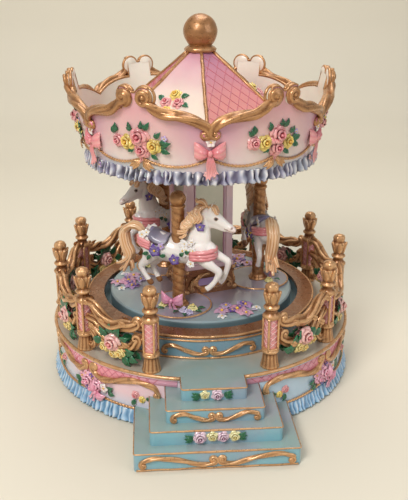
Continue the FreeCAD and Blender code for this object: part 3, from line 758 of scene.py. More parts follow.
def mirrored(line, side):
    """The (u, v) line as it is for side 1, and flipped about the middle for side -1."""
    return [Vector((side * p.x, p.y)) for p in line]


def scroll_pair(sculpt, place, points, curl, tip, thick, **more):
    """Two mirrored S scrolls that meet in the middle."""
    line = flourish(points, start=(*curl, 1), end=(*tip, -1))
    for side in (-1, 1):
        scroll(sculpt, place, mirrored(line, side), thick, **more)


def rope(sculpt, path, thick, pitch=2.2):
    """Two-strand twisted rope."""
    length = sum((b - a).length for a, b in zip(path, path[1:]))
    turns = length / pitch
    steps = max(int(turns * 7), 12)
    fine = []
    for i in range(steps + 1):
        at = i / steps * (len(path) - 1)
        k = min(int(at), len(path) - 2)
        fine.append(path[k].lerp(path[k + 1], at - k))
    tube(sculpt, fine, lambda s, a: thick * (1 + 0.26 * math.cos(2 * a - TAU * turns * s)), WHITE, 0, 10)


def swag(place, u_start, u_end, v_ends, v_middle, h=0.8, steps=24):
    """Hanging line between two points on a place."""
    line = []
    for i in range(steps + 1):
        t = 2 * i / steps - 1
        u = u_start + (u_end - u_start) * i / steps
        line.append(place(u, v_middle + (v_ends - v_middle) * t * t, h))
    return line


def arc_line(radius, height, start, end, steps=96):
    return [around(radius, start + (end - start) * i / steps, height) for i in range(steps + 1)]


# ---------------------------------------------------------------- carried-over CAD bodies get their finishes
def finish_node(node, material):
    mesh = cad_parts[node].data
    mesh.materials.clear()
    mesh.materials.append(material)


NODE_FINISHES = [
    (drum_material(), ["base_drum"]),
    (blue_material("steps_paint"), ["base_steps"]),
    (blue_material("stage_riser_paint", "8AA2A6", "7397A6"), ["stage_riser"]),
    (RING_GOLD, ["stage_ring", "column_plinth"]),
    (turntable_material(), ["turntable"]),
    (plate_material(), ["horse_plate_1", "horse_plate_2", "horse_plate_3"]),
    (column_material(), ["column"]),
    (mirror_material(), ["column_mirrors"]),
    (CREAM_LINING, ["canopy_ceiling"]),
    (roof_material(), ["canopy_roof"]),
    (GOLD, ["roof_ribs", "finial_collar"]),
    (plastic_material("closing_plate_plastic", "2B2A2C"), ["closing_plate"]),
    (felt_material(), ["felt_ring"]),
    (metal_material("movement_zinc", "9C9FA2", (0.35, 0.6), (1, 1, 4)),
     ["movement_bedplate", "governor_frame"]),
    (metal_material("movement_steel", "A9ABAE", (0.18, 0.35)),
     ["comb", "closing_plate_screws", "movement_screws", "comb_screws", "spindle_screws", "mainspring",
      "winding_key", "drive_spindle"]),
    (metal_material("movement_brass", "C9A24E"),
     ["spring_barrel", "crown_wheel", "pinned_cylinder", "worm_wheel", "spindle_bush"]),
    (plastic_material("fly_plastic", "C9C4B4"), ["governor_fly"]),
]
for material, nodes in NODE_FINISHES:
    for node in nodes:
        finish_node(node, material)


# ---------------------------------------------------------------- canopy
def canopy_radius(height):
    return CANOPY_R + CANOPY_FLARE * (height - CANOPY_LOW)


LOBE_HALF = math.radians(30) * canopy_radius(154)
NOTCH_HALF = CURL_OFFSET + 2.2


def lobe_top(u):
    """Height of the canopy edge at a distance from the middle of a lobe."""
    u = min(abs(u), LOBE_HALF)
    share = max(0.0, (u - CURL_OFFSET) / (LOBE_HALF - CURL_OFFSET))
    shoulder = SHOULDER_TOP - (SHOULDER_TOP - SEAM_TOP) * share ** 2.2
    reach = abs(u - CURL_OFFSET)
    bump = CURL_HEIGHT + math.sqrt(max(CURL_R ** 2 - reach ** 2, CURL_R ** 2 * 0.22))
    return max(shoulder, bump) if u < NOTCH_HALF else shoulder


def canopy_wall():
    """Flared lobed wall: painted outside, cream inside, gilded along its edge."""
    sculpt = Sculpt(VALANCE_PAINT, CREAM_LINING, SHADED_GOLD)
    marks = sorted({round(x, 3) for x in [0.5 * k for k in range(-23, 24)]}
                   | {round(LOBE_HALF * k / 22, 3) for k in range(-22, 22)}
                   | {s * (NOTCH_HALF + d) for s in (-1, 1) for d in (-0.05, 0.05)})
    columns = [(middle + 30 * u / LOBE_HALF, lobe_top(u)) for middle in LOBE_ANGLES for u in marks]

    def skin(depth):
        """Rows up the wall at a depth behind its outer face."""
        return [[around(canopy_radius(z) - depth, a, z) for a, top in columns
                 for z in [CANOPY_LOW + (top - 0.35 - CANOPY_LOW) * i / 14]] for i in range(15)]
    outer, inner = skin(0.0), skin(CANOPY_WALL)
    crest = [[around(canopy_radius(top) - d, a, top + h) for a, top in columns]
             for d, h in ((-0.25, -0.5), (-0.3, 0.1), (0.5, 0.35),
                          (CANOPY_WALL - 0.5, 0.35), (CANOPY_WALL + 0.3, 0.1), (CANOPY_WALL + 0.25, -0.9))]
    sculpt.surface(outer, slot=0, wrap=True)
    sculpt.surface(inner[::-1], slot=1, wrap=True)
    sculpt.surface([outer[-1]] + crest + [inner[-1]], slot=2, wrap=True)
    sculpt.surface([inner[0], outer[0]], slot=1, wrap=True)
    for middle in LOBE_ANGLES:
        place = on_round(middle, canopy_radius)
        for u in (-CURL_OFFSET, CURL_OFFSET):
            centre, across, up, out = spot(place, u, CURL_HEIGHT, -CANOPY_WALL * 0.5)
            turns = [TAU * i / 40 for i in range(40)]
            rounded = CURL_R * 0.85
            section = ((0.2, 1.1), (rounded, 1.1), (CURL_R, 0.6), (CURL_R, -0.6), (rounded, -1.15),
                       (0.2, -1.15))
            coin = [[centre + (across * math.cos(t) + up * math.sin(t)) * rho + out * d for t in turns]
                    for rho, d in section]
            sculpt.surface(coin, slot=1, wrap=True, caps=True)
            side = 1 if u > 0 else -1
            edge = [math.radians(-62 + 5.5 * i) for i in range(39)]
            gilt = [centre + (across * (side * math.cos(t)) + up * math.sin(t)) * (CURL_R - 0.1)
                    for t in edge]
            tube(sculpt, gilt, 0.85, WHITE, 2, 10)
    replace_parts(sculpt.object("canopy_wall", "carousel", "canopy_resin"), "canopy_valance")


def canopy_gilding():
    """Big paired scrolls on the lobes with their tips curling in at the seams."""
    sculpt = Sculpt(SHADED_GOLD, PAINTED)
    points = [(CURL_OFFSET - 0.3, CURL_HEIGHT - 3.0), (7.4, 160.7), (10.6, 158.6), (15.0, 156.6),
              (21.0, 155.8), (27.0, 154.4), (31.4, 152.4), (33.7, 150.0), (34.1, 147.4)]
    ridge = flourish([(9.5, 158.2), (14, 156.0), (20, 154.9), (26, 153.6), (31, 151.4)])
    for middle in LOBE_ANGLES:
        place = on_round(middle, canopy_radius)
        scroll_pair(sculpt, place, points, (3.0, 1.5), (2.3, 0.95), 2.5, lift=0.7, flat=0.95, sides=18,
                    leafy=0.22, twist=3)
        for side in (-1, 1):
            centre = place(side * CURL_OFFSET, CURL_HEIGHT, 0.2)
            axes = spot(place, side * CURL_OFFSET, CURL_HEIGHT)
            blob(sculpt, centre, (CURL_R * 0.92, CURL_R * 0.92, 1.3), WHITE, 0, 8, 20, axes[1:])
            blob(sculpt, place(side * CURL_OFFSET, CURL_HEIGHT, 1.6), 1.2, WHITE, 0, 6, 12)
            blob(sculpt, place(side * 31.5, 147.2, 0.6), 1.7, PINK, 1, 8, 14)
            for drop in (-0.2, 1.3):
                tube(sculpt, [place(side * p.x, p.y + drop, 2.3 - drop * 0.2) for p in ridge],
                     lambda s, a: 0.75 * math.sin(math.pi * (0.06 + 0.9 * s)), WHITE, 0, 8)
    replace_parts(sculpt.object("canopy_gilding", "carousel", "gold_resin"), "canopy_scrolls")


def frill(name, node, body, slot, folds, uneven, high, low, radius_high, radius_low, swing, tones):
    """Gathered fabric frill cast round a rim, with uneven folds, painted shade in their valleys and painted
    highlights on their crests.
    """
    light, deep, hint = tones
    rng = random.Random(folds)
    gathers = [(rng.uniform(1 - uneven, 1 + uneven), rng.uniform(1 - 0.8 * uneven, 1.1),
                rng.uniform(-uneven, uneven)) for _ in range(folds)]
    total = sum(width for width, _, _ in gathers)
    columns, angle = [], 0.0
    for width, depth, lean in gathers:
        for j in range(8):
            t = j / 8
            columns.append((angle + 360 * width / total * t, math.sin(TAU * t), depth,
                            lean * (1 - abs(2 * t - 1))))
        angle += 360 * width / total

    def ripple(s, a, lean):
        """Small waves that run down and across the cloth."""
        return uneven * math.sin(s * 6.5 + a * 0.9 + lean * 4)
    sculpt = Sculpt()
    rows = []
    for i in range(11):
        s = i / 10
        open_out = (0.25 + 0.75 * min(abs(s - 0.16) * 2.2, 1.0)) * (1 if s < 0.93 else 0.8)
        row = []
        for a, wave, depth, lean in columns:
            z = high + (low - high) * s + uneven * (0.9 + 0.9 * math.sin(a * 1.9) * wave) * s
            curl = ripple(s, a, lean)
            swell = swing * open_out * depth * (wave + 0.3 * curl)
            r = radius_high + (radius_low - radius_high) * s ** 1.3 + swell
            row.append(around(r, a + lean * s * 1.6 + curl * 0.8 * s, max(z, low)))
        rows.append(row)
    flat = [around(radius_high - 1.6, a, high - 0.2) for a, _, _, _ in columns]
    under = [around(radius_low - swing - 1.3, a, low + 0.6) for a, _, _, _ in columns]
    count = len(columns)

    def paint(s, t):
        a, wave, _, lean = columns[min(int(t * count + 0.5), count - 1)]
        curl = ripple(s, a, lean)
        # painted shade: darker towards the fold valleys, paler on the crests
        base = mixed(light, deep, 0.45 - 0.55 * wave - 0.3 * curl)
        base = mixed(base, hint, (0.5 + 0.5 * math.sin(a * 0.21)) * 0.5)
        # painted highlight: near white on the highest crests
        return mixed(base, mixed(light, WHITE, 0.75),
                     1.2 * max(0.0, wave + 0.5 * curl - 0.55) * (0.4 + uneven))
    sculpt.surface([flat] + rows + [under], paint, 1, wrap=True)
    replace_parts(sculpt.object(name, body, slot), node)


PLAIN_PANELS = [-30 + 120 * k for k in range(3)]
LATTICE_PANELS = [30 + 120 * k for k in range(3)]


def on_roof(angle, run, reach):
    """Place on a roof panel: v is 0 at the top edge, which lies at the reach, and less than 0 below it."""
    out, across = facing(angle)
    up = (Vector((0, 0, ROOF_TOP - ROOF_LOW)) - out * run).normalized()
    return on_plane(out * reach + Vector((0, 0, ROOF_TOP)), across, up)


def canopy_flowers():
    """Bouquets, bows, rope swags and blossoms on the canopy wall and roof."""
    sculpt = Sculpt()
    bouquets = Sculpt()
    rng = random.Random(3)
    for middle in LOBE_ANGLES:
        place = on_round(middle, canopy_radius)
        roses(bouquets, place, ((0.2, 144.9, 5.3, CORAL_PAIR), (0.6, 138.3, 4.4, CORAL_PAIR),
                                (-7.0, 141.8, 4.3, YELLOW_PAIR), (7.0, 140.6, 4.1, YELLOW_PAIR),
                                (-12.4, 141.8, 3.7, CORAL_PAIR)), 0.2, rng)
        for u, v, turn, long in ((-14.4, 145.2, 80, 5.0), (-12.2, 146.6, 110, 4.2), (-4.0, 147.6, 110, 4.4),
                                 (3.6, 148.2, 60, 4.8), (2.0, 149.0, 95, 3.8), (10.4, 141.6, 10, 5.6),
                                 (10.2, 139.4, -20, 5.4), (5.2, 136.8, -35, 4.6), (-4.4, 138.6, 215, 3.6),
                                 (8.4, 144.6, 50, 4.2)):
            leaf(bouquets, spot(place, u, v, 0.2, turn), long, long * 0.5)
            leaf(bouquets, spot(place, u, v, 0.4, turn + 42), long * 0.66, long * 0.36)
        blossom(sculpt, spot(place, 12.6, 144.6, 0.3), 1.7, LILAC, WHITE)
        bow(sculpt, spot(place, -0.2, 135.8, 0.4), 2.6, *CORAL_PAIR, 2, 1.3)
        for side in (-1, 1):
            path = swag(place, side * 0.4, side * (LOBE_HALF - 1.5) * 0.985, 133.4, 129.4, 0.7)
            for i, p in enumerate(path):
                share = i / (len(path) - 1)
                p.z += (1 - share) * 0.6 + share * 2.0
            rope(sculpt, path, 0.62, 1.9)
            for turn, drop in ((0, 0), (26, 0.6)):
                at = spot(place, side * 0.9, 133.2 - drop, 0.7, -90 + side * (38 + turn))
                leaf(sculpt, at, 6.6, 3.0, 0)
                leaf(sculpt, (at[0] + at[3] * 0.5, at[1], at[2], at[3]), 5.2, 1.4, 0)
        seam = on_round(middle - 30, canopy_radius)
        bow(sculpt, spot(seam, 0, 138.2, 0.5), 7.4, *CORAL_PAIR, 3, 1.6)
        for u, v, proud, turn, size, petal, heart in ((0.2, 143.6, 0.8, 20, 2.7, WHITE, PALE_PINK),
                                                      (-2.0, 145.6, 0.5, 20, 1.8, LILAC, WHITE),
                                                      (2.2, 126.0, 1.9, 50, 1.9, LILAC, WHITE),
                                                      (-1.4, 127.6, 1.9, 50, 1.7, PALE_PINK, WHITE)):
            blossom(sculpt, spot(seam, u, v, proud, turn), size, petal, heart)
    for middle in PLAIN_PANELS:
        place = on_roof(middle, ROOF_R * PANEL_COS - ROOF_TOP_R, ROOF_TOP_R * 0.87)
        roses(bouquets, place, ((-0.6, -28.0, 3.5, YELLOW_PAIR), (-4.2, -33.2, 3.5, CORAL_PAIR),
                                (2.8, -33.0, 3.6, CORAL_PAIR), (-2.4, -38.6, 3.4, YELLOW_PAIR)), 0.1, rng)
        leaves(bouquets, place, ((3.0, -29.0, 20), (5.2, -33.0, -25), (3.0, -38.0, -40), (-6.0, -31.4, 150),
                                 (0.6, -39.5, -60)), 0.1, 4.4, 2.8)
    sculpt.object("canopy_bows", "carousel", "ruffle_resin")
    bouquets.object("canopy_bouquets", "carousel", "ruffle_resin")


def roof_lattice():
    """Engraved diamond lines on every other roof panel."""
    sculpt = Sculpt()
    run = ROOF_R * PANEL_COS - ROOF_TOP_R * PANEL_COS
    length = math.hypot(run, ROOF_TOP - ROOF_LOW)

    def half_width(v):
        """Half of the panel's width at a point down the slope, less a plain border."""
        share = -v / length
        return (ROOF_TOP_R + (ROOF_R - ROOF_TOP_R) * share) / 2 - 1.2
    for middle in LATTICE_PANELS:
        place = on_roof(middle, run, ROOF_TOP_R * PANEL_COS)
        for lean in (-1, 1):
            for start in range(-80, 81, 6):
                stroke = []
                for i in range(61):
                    v = -2.5 - (length - 12) * i / 60
                    u = start + lean * (v + length / 2) * 0.72
                    if abs(u) < half_width(v):
                        stroke.append(place(u, v, 0.05))
                if len(stroke) > 2:
                    tube(sculpt, stroke, 0.17, hue("BF6472"), 1, 5)
    sculpt.object("roof_lattice_lines", "carousel", "roof_resin")


def finial():
    """Cast gold ball with shallow dents on a turned collar."""
    sculpt = Sculpt(SHADED_GOLD, PAINTED)
    rng = random.Random(11)
    dents = [(Vector((rng.gauss(0, 1), rng.gauss(0, 1), rng.gauss(0, 1))).normalized(),
              rng.uniform(0.08, 0.25)) for _ in range(26)]
    rows = []
    for i in range(37):
        tilt = math.pi * (0.01 + 0.98 * i / 36)
        row = []
        for j in range(72):
            way = Vector((math.sin(tilt) * math.cos(TAU * j / 72), math.sin(tilt) * math.sin(TAU * j / 72),
                          -math.cos(tilt)))
            r = FINIAL_R - 0.25 - sum(d * math.exp(-((way - c).length / 0.28) ** 2) for c, d in dents)
            row.append(Vector((0, 0, FINIAL_HEIGHT)) + way * r)
        rows.append(row)
    sculpt.surface(rows, WHITE, 0, wrap=True, caps=True)
    top = highest("finial_collar")[2]
    lathe(sculpt, [(6.4, top - 3.0), (8.3, top - 2.2), (8.6, top - 1.2), (7.6, top - 0.2), (6.4, top + 0.4),
                   (5.9, top + 1.2)], sides=60,
          wave=lambda z, a: 1 + 0.012 * math.sin(5 * a) + 0.008 * math.sin(11 * a))
    made = sculpt.object("finial", "carousel", "gold_resin")
    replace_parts(made, "finial_ball")
    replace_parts(made, "finial_collar")


def rib_gilding():
    """Slightly uneven gold ribs down the roof's edges."""
    sculpt = Sculpt(SHADED_GOLD, PAINTED)
    rng = random.Random(5)
    for k in range(LOBES):
        wobble = [rng.uniform(-0.18, 0.18) for _ in range(24)]
        path = [around(ROOF_R + (ROOF_TOP_R - ROOF_R) * i / 23 - 0.1, 60 * k,
                       ROOF_LOW + (ROOF_TOP - ROOF_LOW) * i / 23 + 0.25)
                + around(wobble[i], 60 * k + 90, 0) for i in range(24)]
        tube(sculpt, path, lambda s, a: 0.85 * (1.06 + 0.08 * math.sin(s * 31 + k)), WHITE, 0, 10)
    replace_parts(sculpt.object("rib_gilding", "carousel", "roof_resin"), "roof_ribs")


# ---------------------------------------------------------------- base ornaments
def wall_ornaments():
    """Quilted pink band, paired scrolls, bouquets and rope on the drum wall."""
    sculpt = Sculpt()
    bouquets = Sculpt()
    rng = random.Random(4)
    wall = DRUM_R
    high = 28.4
    middles = (48, 114, 180, 246, 312)
    rosy = (hue("D0668A"), hue("F5BCCB"))

    def band_low(angle):
        """Lower edge of the quilted band, which follows the scrolls."""
        reach = min(abs(angle - m) for m in middles) * math.radians(wall)
        rise = min(max((reach - 11) / 14, 0), 1)
        return 20.2 + 4.0 * rise * rise * (3 - 2 * rise)
    steps = 336
    rows = [[around(wall + d, 12 + a, (high if above else band_low(12 + a)) + h) for a in range(steps + 1)]
            for above, h, d in ((False, -0.3, -0.1), (False, 0.0, 0.35),
                                (True, 0.0, 0.35), (True, 0.3, -0.1))]
    sculpt.surface(rows, lambda s, t: mixed(hue("E8949F"), hue("DDA0B4"), 0.5 + 0.5 * math.sin(t * 40)), 1)
    band = on_round(0, wall)
    pitch = 4.6
    low = 20.0
    start = math.radians(13) * wall
    end = math.radians(347) * wall - (high - low)
    for i in range(int((end - start) / pitch)):
        for lean in (-1, 1):
            path = []
            for j in range(13):
                u = start + pitch * i + (high - low) * (0.5 + lean * (j / 12 - 0.5))
                v = low + (high - low) * (0.02 + 0.96 * j / 12)
                if v > band_low(math.degrees(u / wall)) + 0.1:
                    path.append(band(u, v, 0.38))
            if len(path) > 1:
                tube(sculpt, path, 0.2, hue("CF7484"), 1, 5)
    rim = [around(DECK_R - 0.35, a, DECK_TOP - 0.55) for a in range(11, 350, 2)]
    tube(sculpt, rim, lambda s, a: 0.95 * (1 + 0.05 * math.sin(s * 90)), WHITE, 0, 10)
    for angle in middles:
        place = on_round(angle, wall)
        points = [(2.6, 22.4), (7.6, 19.9), (15.0, 20.4), (24.0, 23.4), (33.0, 24.2), (39.5, 22.8),
                  (42.6, 19.0)]
        scroll_pair(sculpt, place, points, (2.5, 1.4), (1.6, 0.9), 1.7, lift=0.5, twist=6)
        roses(bouquets, place, ((-0.6, 15.6, 4.4, rosy), (5.4, 14.2, 4.0, rosy), (1.4, 11.6, 3.6, rosy),
                                (-4.6, 12.8, 3.2, rosy)), 0.1, rng)
        bow(bouquets, spot(place, 6.0, 11.4, 1.6, -40), 5.4, *rosy, 2, 1.3)
        for u, v, size in ((-6.8, 15.8, 2.8), (-3.4, 18.2, 2.4), (2.8, 17.8, 2.6)):
            blossom(bouquets, spot(place, u, v, 0.4, rng.uniform(0, 360)), size, rosy[1], rosy[0])
        blossom(bouquets, spot(place, 10.4, 14.6, 0.6), 3.0, WHITE, PALE_PINK)
        for u, v in ((-2.4, 10.6), (1.6, 19.0)):
            blossom(bouquets, spot(place, u, v, 1.2), 1.7, VIOLET, LILAC)
        leaves(bouquets, place, ((13.0, 13.4, -12), (12.6, 14.4, 28), (-8.6, 13.0, 175), (-7.6, 11.4, 215)),
               0.2, 4.8, 3.0)
        for side in (-1, 1):
            roses(bouquets, place, [(side * 30, 16.2, 2.3, CORAL_PAIR)], 0.2, rng)
            rose(bouquets, spot(place, side * 33.6, 14.2, 0.2), 2.0, *YELLOW_PAIR)
            leaves(bouquets, place, ((side * 30, 13.6, 240), (side * 36, 15.0, 20 if side > 0 else 160)),
                   0.2, 4.0, 2.4)
            rope(sculpt, swag(place, side * 0.5, side * 47, 10.0, 8.4, 0.7), 0.6, 2.0)
    sculpt.object("wall_scrolls", "base", "ruffle_resin")
    bouquets.object("wall_bouquets", "base", "ruffle_resin")


def step_ornaments():
    """Gold lines on the tread edges and the cast scrolls and roses on the risers."""
    sculpt = Sculpt()
    rng = random.Random(9)
    mauve = (hue("7A3560"), hue("EFD3DE"))
    lemon = (hue("AE9230"), hue("F1EBB4"))
    for half, front, top in zip(STEP_HALVES, STEP_FRONTS, STEP_TOPS):
        back = math.sqrt(DRUM_R ** 2 - half ** 2)
        corner = 1.2
        side = [Vector((-half + 0.1, -back - 0.3, top - 0.15)),
                Vector((-half + 0.1, -front + corner, top - 0.15))]
        turn = [Vector((-half + 0.1 + corner * (1 - math.cos(a)), -front + corner - corner * math.sin(a),
                        top - 0.15)) for a in (0.4, 0.8, 1.2, 1.5)]
        left = side + turn
        right = [Vector((-p.x, p.y, p.z)) for p in left[::-1]]
        edge = [Vector((x * half / 8, -front, top - 0.15 + 0.06 * math.sin(x * 2.1))) for x in range(-7, 8)]
        path = left + edge + right
        tube(sculpt, path, lambda s, a: 0.32 + 0.22 * math.sin(math.pi * s) ** 4, WHITE, 0, 8)
    low_front = [Vector((x, -STEP_FRONTS[0] - 0.05, 0.75 + 0.1 * math.sin(x * 0.4)))
                 for x in range(-38, 39, 2)]
    tube(sculpt, low_front, 0.5, WHITE, 0, 8)
    faces = [on_plane((0, -front, 0), (1, 0, 0), (0, 0, 1)) for front in STEP_FRONTS]
    points = [(2.0, 3.2), (7.0, 2.9), (14.0, 4.6), (22.0, 6.6), (30.0, 7.0), (35.0, 5.6), (36.0, 3.9)]
    scroll_pair(sculpt, faces[0], points, (2.3, 1.3), (1.6, 0.95), 1.2, lift=0.35, twist=6)
    points = [(1.7, 18.5), (5.4, 18.3), (10.5, 20.4), (15.5, 22.0), (19.6, 21.2), (20.8, 19.6)]
    scroll_pair(sculpt, faces[2], points, (1.95, 1.25), (1.5, 0.95), 1.1, lift=0.35, twist=5)
    top_face = [(-4.6, 27.0, 2.5, lemon), (1.4, 26.8, 3.1, mauve)]
    wide_face = [(-8.0, 13.2, 3.5, mauve), (-2.0, 13.5, 2.9, lemon), (3.0, 13.2, 3.1, mauve),
                 (8.4, 13.4, 3.0, lemon)]
    for place, marks, ends, height in ((faces[3], top_face, (4.7, -6.9), 27.0),
                                       (faces[1], wide_face, (9.9, -11.1), 13.4)):
        roses(sculpt, place, marks, 0.0, rng)
        for side, u in zip((0, 180), ends):
            leaves(sculpt, place, [(u, height, side + turn) for turn in (-22, 6, 32)], 0.1, 4.4, 2.2)
    sculpt.object("step_ornaments", "base", "gold_resin")


def stage_ornaments():
    """Scroll pairs and gold lines on the riser under the turntable."""
    sculpt = Sculpt()
    points = [(1.9, 33.5), (6.6, 33.2), (13.0, 35.6), (19.0, 37.4), (23.0, 36.6), (24.2, 34.6)]
    for angle in (0, 72, 144, 216, 288):
        scroll_pair(sculpt, on_round(angle, STAGE_R), points, (2.1, 1.25), (1.5, 0.95), 1.15, lift=0.35,
                    twist=5)
    for r, z, thick in ((STAGE_R + 0.15, DECK_TOP + 0.55, 0.6), (STAGE_R + 0.1, STAGE_WALL_TOP - 0.9, 0.55),
                        (RING_R - 0.1, RING_TOP - 0.5, 0.6)):
        path = arc_line(r, z, 0, 360, 180)
        for i, p in enumerate(path[:-1]):
            p.z += 0.08 * math.sin(i * 0.7)
        tube(sculpt, path[:-1] + path[:1], thick, WHITE, 0, 8)
    sculpt.object("stage_ornaments", "base", "gold_resin")


# ---------------------------------------------------------------- fence
FRAME_R = 3.9
CRESTS = 5
LATTICE_LINES = 5


def post_at_front():
    """One post: fluted foot, framed lattice shaft, turned neck and leafy crown."""
    sculpt = Sculpt()
    y = -FENCE_R
    flute = (lambda z, a: 1 + 0.07 * (abs(math.sin(6 * a)) - 0.6) * (1 if z < 38.2 else 0))
    foot = [(4.75, DECK_TOP), (4.75, 31.0), (4.45, 31.8), (4.1, 33.6), (3.7, 36.2), (3.55, 37.6),
            (3.6, 38.2), (4.35, 38.6), (4.5, 39.2), (4.2, 39.9), (3.6, 40.2)]
    lathe(sculpt, foot, centre=(0, y), sides=72, wave=flute)
    bottom, top, half = 40.0, 57.4, 2.55
    outline = ((-1, -1), (0, -1), (1, -1), (1, 0), (1, 1), (0, 1), (-1, 1), (-1, 0))
    rows = []
    for z in (bottom, bottom + 3, (bottom + top) / 2, top - 3, top):
        rows.append([Vector((half * c, y + half * d, z)) for c, d in outline])
    sculpt.surface(rows, lambda s, t: mixed(hue("E0958E"), hue("DA8F98"), s), 1, wrap=True)
    edge = 2.75
    for c, d in ((-1, -1), (1, -1), (1, 1), (-1, 1)):
        path = [Vector((edge * c, y + edge * d, bottom - 0.3 + (top - bottom + 0.6) * i / 8))
                for i in range(9)]
        tube(sculpt, path, lambda s, a: 0.62 * (1 + 0.05 * math.sin(17 * s)), WHITE, 0, 8)
    for level in (bottom + 0.2, top - 0.2):
        for c in range(4):
            a, b = math.pi / 4 + c * math.pi / 2, math.pi / 4 + (c + 1) * math.pi / 2
            ends = [Vector((FRAME_R * math.cos(t), y + FRAME_R * math.sin(t), level)) for t in (a, b)]
            tube(sculpt, [ends[0].lerp(ends[1], i / 4) for i in range(5)], 0.7, WHITE, 0, 8)
    for c in range(4):
        turn = Matrix.Rotation(c * math.pi / 2, 3, "Z")
        for lean in (-1, 1):
            for i in range(LATTICE_LINES):
                z = bottom + 1.4 + i * 3.1
                path = [turn @ Vector((lean * x, -half - 0.06, z + (x + 2.1) * 0.72)) + Vector((0, y, 0))
                        for x in (-2.1, 0, 2.1)]
                tube(sculpt, path, 0.17, hue("F4C8C4"), 1, 5)
    neck = [(3.5, 57.2), (4.25, 57.7), (4.4, 58.5), (3.9, 59.3), (3.15, 60.0), (2.9, 61.2), (3.2, 62.0),
            (3.9, 62.5), (4.0, 63.2), (3.4, 63.8), (2.75, 64.6), (2.9, 66.0), (3.4, 68.0), (3.8, 69.8),
            (3.6, 71.0), (3.0, 71.7), (3.3, 72.8), (3.35, 73.8), (2.8, 75.1), (1.5, 75.8), (0.3, POST_TOP)]

    def lobes(z, a):
        """Five lobes round the crown's widest part and again round its tip."""
        crown = 0.09 * math.cos(5 * a) * max(0, 1 - abs(z - 70.4) / 4.5)
        return 1 + crown + (0.05 * math.cos(5 * a) if z > 73 else 0)
    lathe(sculpt, neck, centre=(0, y), sides=50, wave=lobes)
    for k in range(CRESTS):
        a = TAU * (k + 0.5) / CRESTS
        out = Vector((math.cos(a), math.sin(a), 0))
        side = Vector((-math.sin(a), math.cos(a), 0))
        rows = []
        for r, z, w in ((2.7, 64.4, 0.7), (3.3, 66.2, 1.5), (3.8, 68.0, 1.9), (4.2, 69.6, 1.8),
                        (4.5, 70.9, 1.2), (4.4, 71.6, 0.45)):
            middle = Vector((0, y, z))
            rows.append([middle + out * (r - 0.35 * t * t + 0.3 * (1 - abs(t))) + side * (w * t)
                         for t in (-1, -0.5, 0, 0.5, 1)]
                        + [middle + out * (r - 0.9) + side * (w * t * 0.8) for t in (0.6, 0, -0.6)])
        sculpt.surface(rows, WHITE, 0, wrap=True, caps=True)
    return sculpt


def rail_at_front(mirror):
    """One fence panel: leafy scroll rail, two lower scrolls and a rose bouquet on both faces."""
    sculpt = Sculpt()
    half = FENCE_R * math.radians(POST_STEP) / 2

    def place(u, v, h=0.0):
        return on_round(0, FENCE_R)(mirror * u, v, h)
    upper = flourish([(-half + 3.4, 58.6), (-12.5, 57.0), (-6.5, 52.4), (0.0, 50.2), (6.5, 51.8),
                      (11.5, 52.2), (15.2, 53.4)], end=(2.1, 0.95, 1))
    left = flourish([(-half + 2.6, 49.6), (-13.5, 48.2), (-8.5, 44.0), (-3.5, 40.2)], end=(1.4, 0.6, 1))
    right = flourish([(1.5, 38.8), (7.0, 39.6), (12.0, 41.4), (15.4, 44.8)], end=(1.9, 1.1, 1))
    foot = flourish([(-half + 3.6, 34.0), (-14.6, 34.4), (-12.4, 38.0), (-13.8, 42.0), (-16.4, 44.6)],
                    end=(1.0, 0.6, 1))
    turns = 2.2
    for line, thick in ((upper, 2.65), (left, 2.3), (right, 2.2), (foot, 1.6)):
        path = [place(p.x, p.y) for p in line]
        out = [(place(p.x, p.y, 1) - place(p.x, p.y)).normalized() for p in line]

        def radius(s, a, thick=thick):
            """Fat in the middle, with leafy folds and fine veins that wind round."""
            body = thick * (0.55 + 0.45 * math.sin(math.pi * min(0.12 + s * 0.9, 1)))
            leaf = 0.22 * math.cos(4 * a - turns * s * TAU)
            return body * (1 + leaf + 0.05 * math.cos(11 * a - 5 * s * TAU))
        tube(sculpt, path, radius, WHITE, 0, 30, out, 1.0)
        blob(sculpt, path[-1], thick * 0.62, WHITE, 0, 6, 10)
    stub = [place(u, 55.0 + 0.4 * math.sin(u), 0) for u in (15.6, 17.0, 18.6, 20.4)]
    tube(sculpt, stub, 1.3, WHITE, 0, 10)
    tube(sculpt, [place(u, 46.2, 0) for u in (15.4, 17.0, 18.6, 20.4)], 1.2, WHITE, 0, 10)

    def out_of(face, u, v, proud, turn, across=1):
        """Spot on the front face (1) or the back face (-1) of the panel."""
        centre, right, up, out = spot(place, u, v, face * proud, turn)
        return centre, right * across, up, out * face
    for u, v in ((-15.5, 57.9), (-4.0, 50.9), (9.5, 52.6), (-11.0, 46.0), (11.0, 41.2)):
        for face in (-1, 1):
            leaf(sculpt, out_of(face, u, v, 1.5, 150), 5.4, 3.0, 0)
    for face in (-1, 1):
        rose(sculpt, out_of(face, 0.6, 41.4, 1.5, 20, face), 5.1, hue("D96A6E"), hue("F6C6BC"))
        for u, v, size in ((-5.2, 37.8, 3.3), (0.6, 35.2, 2.9), (5.0, 36.4, 3.2)):
            rose(sculpt, out_of(face, u, v, 1.1, u * 40, face), size, hue("D9A437"), hue("F6E29A"))
        for u, v, turn in ((-3.0, 44.2, 140), (2.4, 45.4, 60), (0.0, 45.6, 100), (-6.6, 40.6, 185),
                           (7.6, 38.0, 8), (9.6, 36.2, -22), (7.0, 35.6, -50), (5.0, 43.2, 30)):
            leaf(sculpt, out_of(face, u, v, 1.0, turn), 6.4, 4.2)
    return sculpt


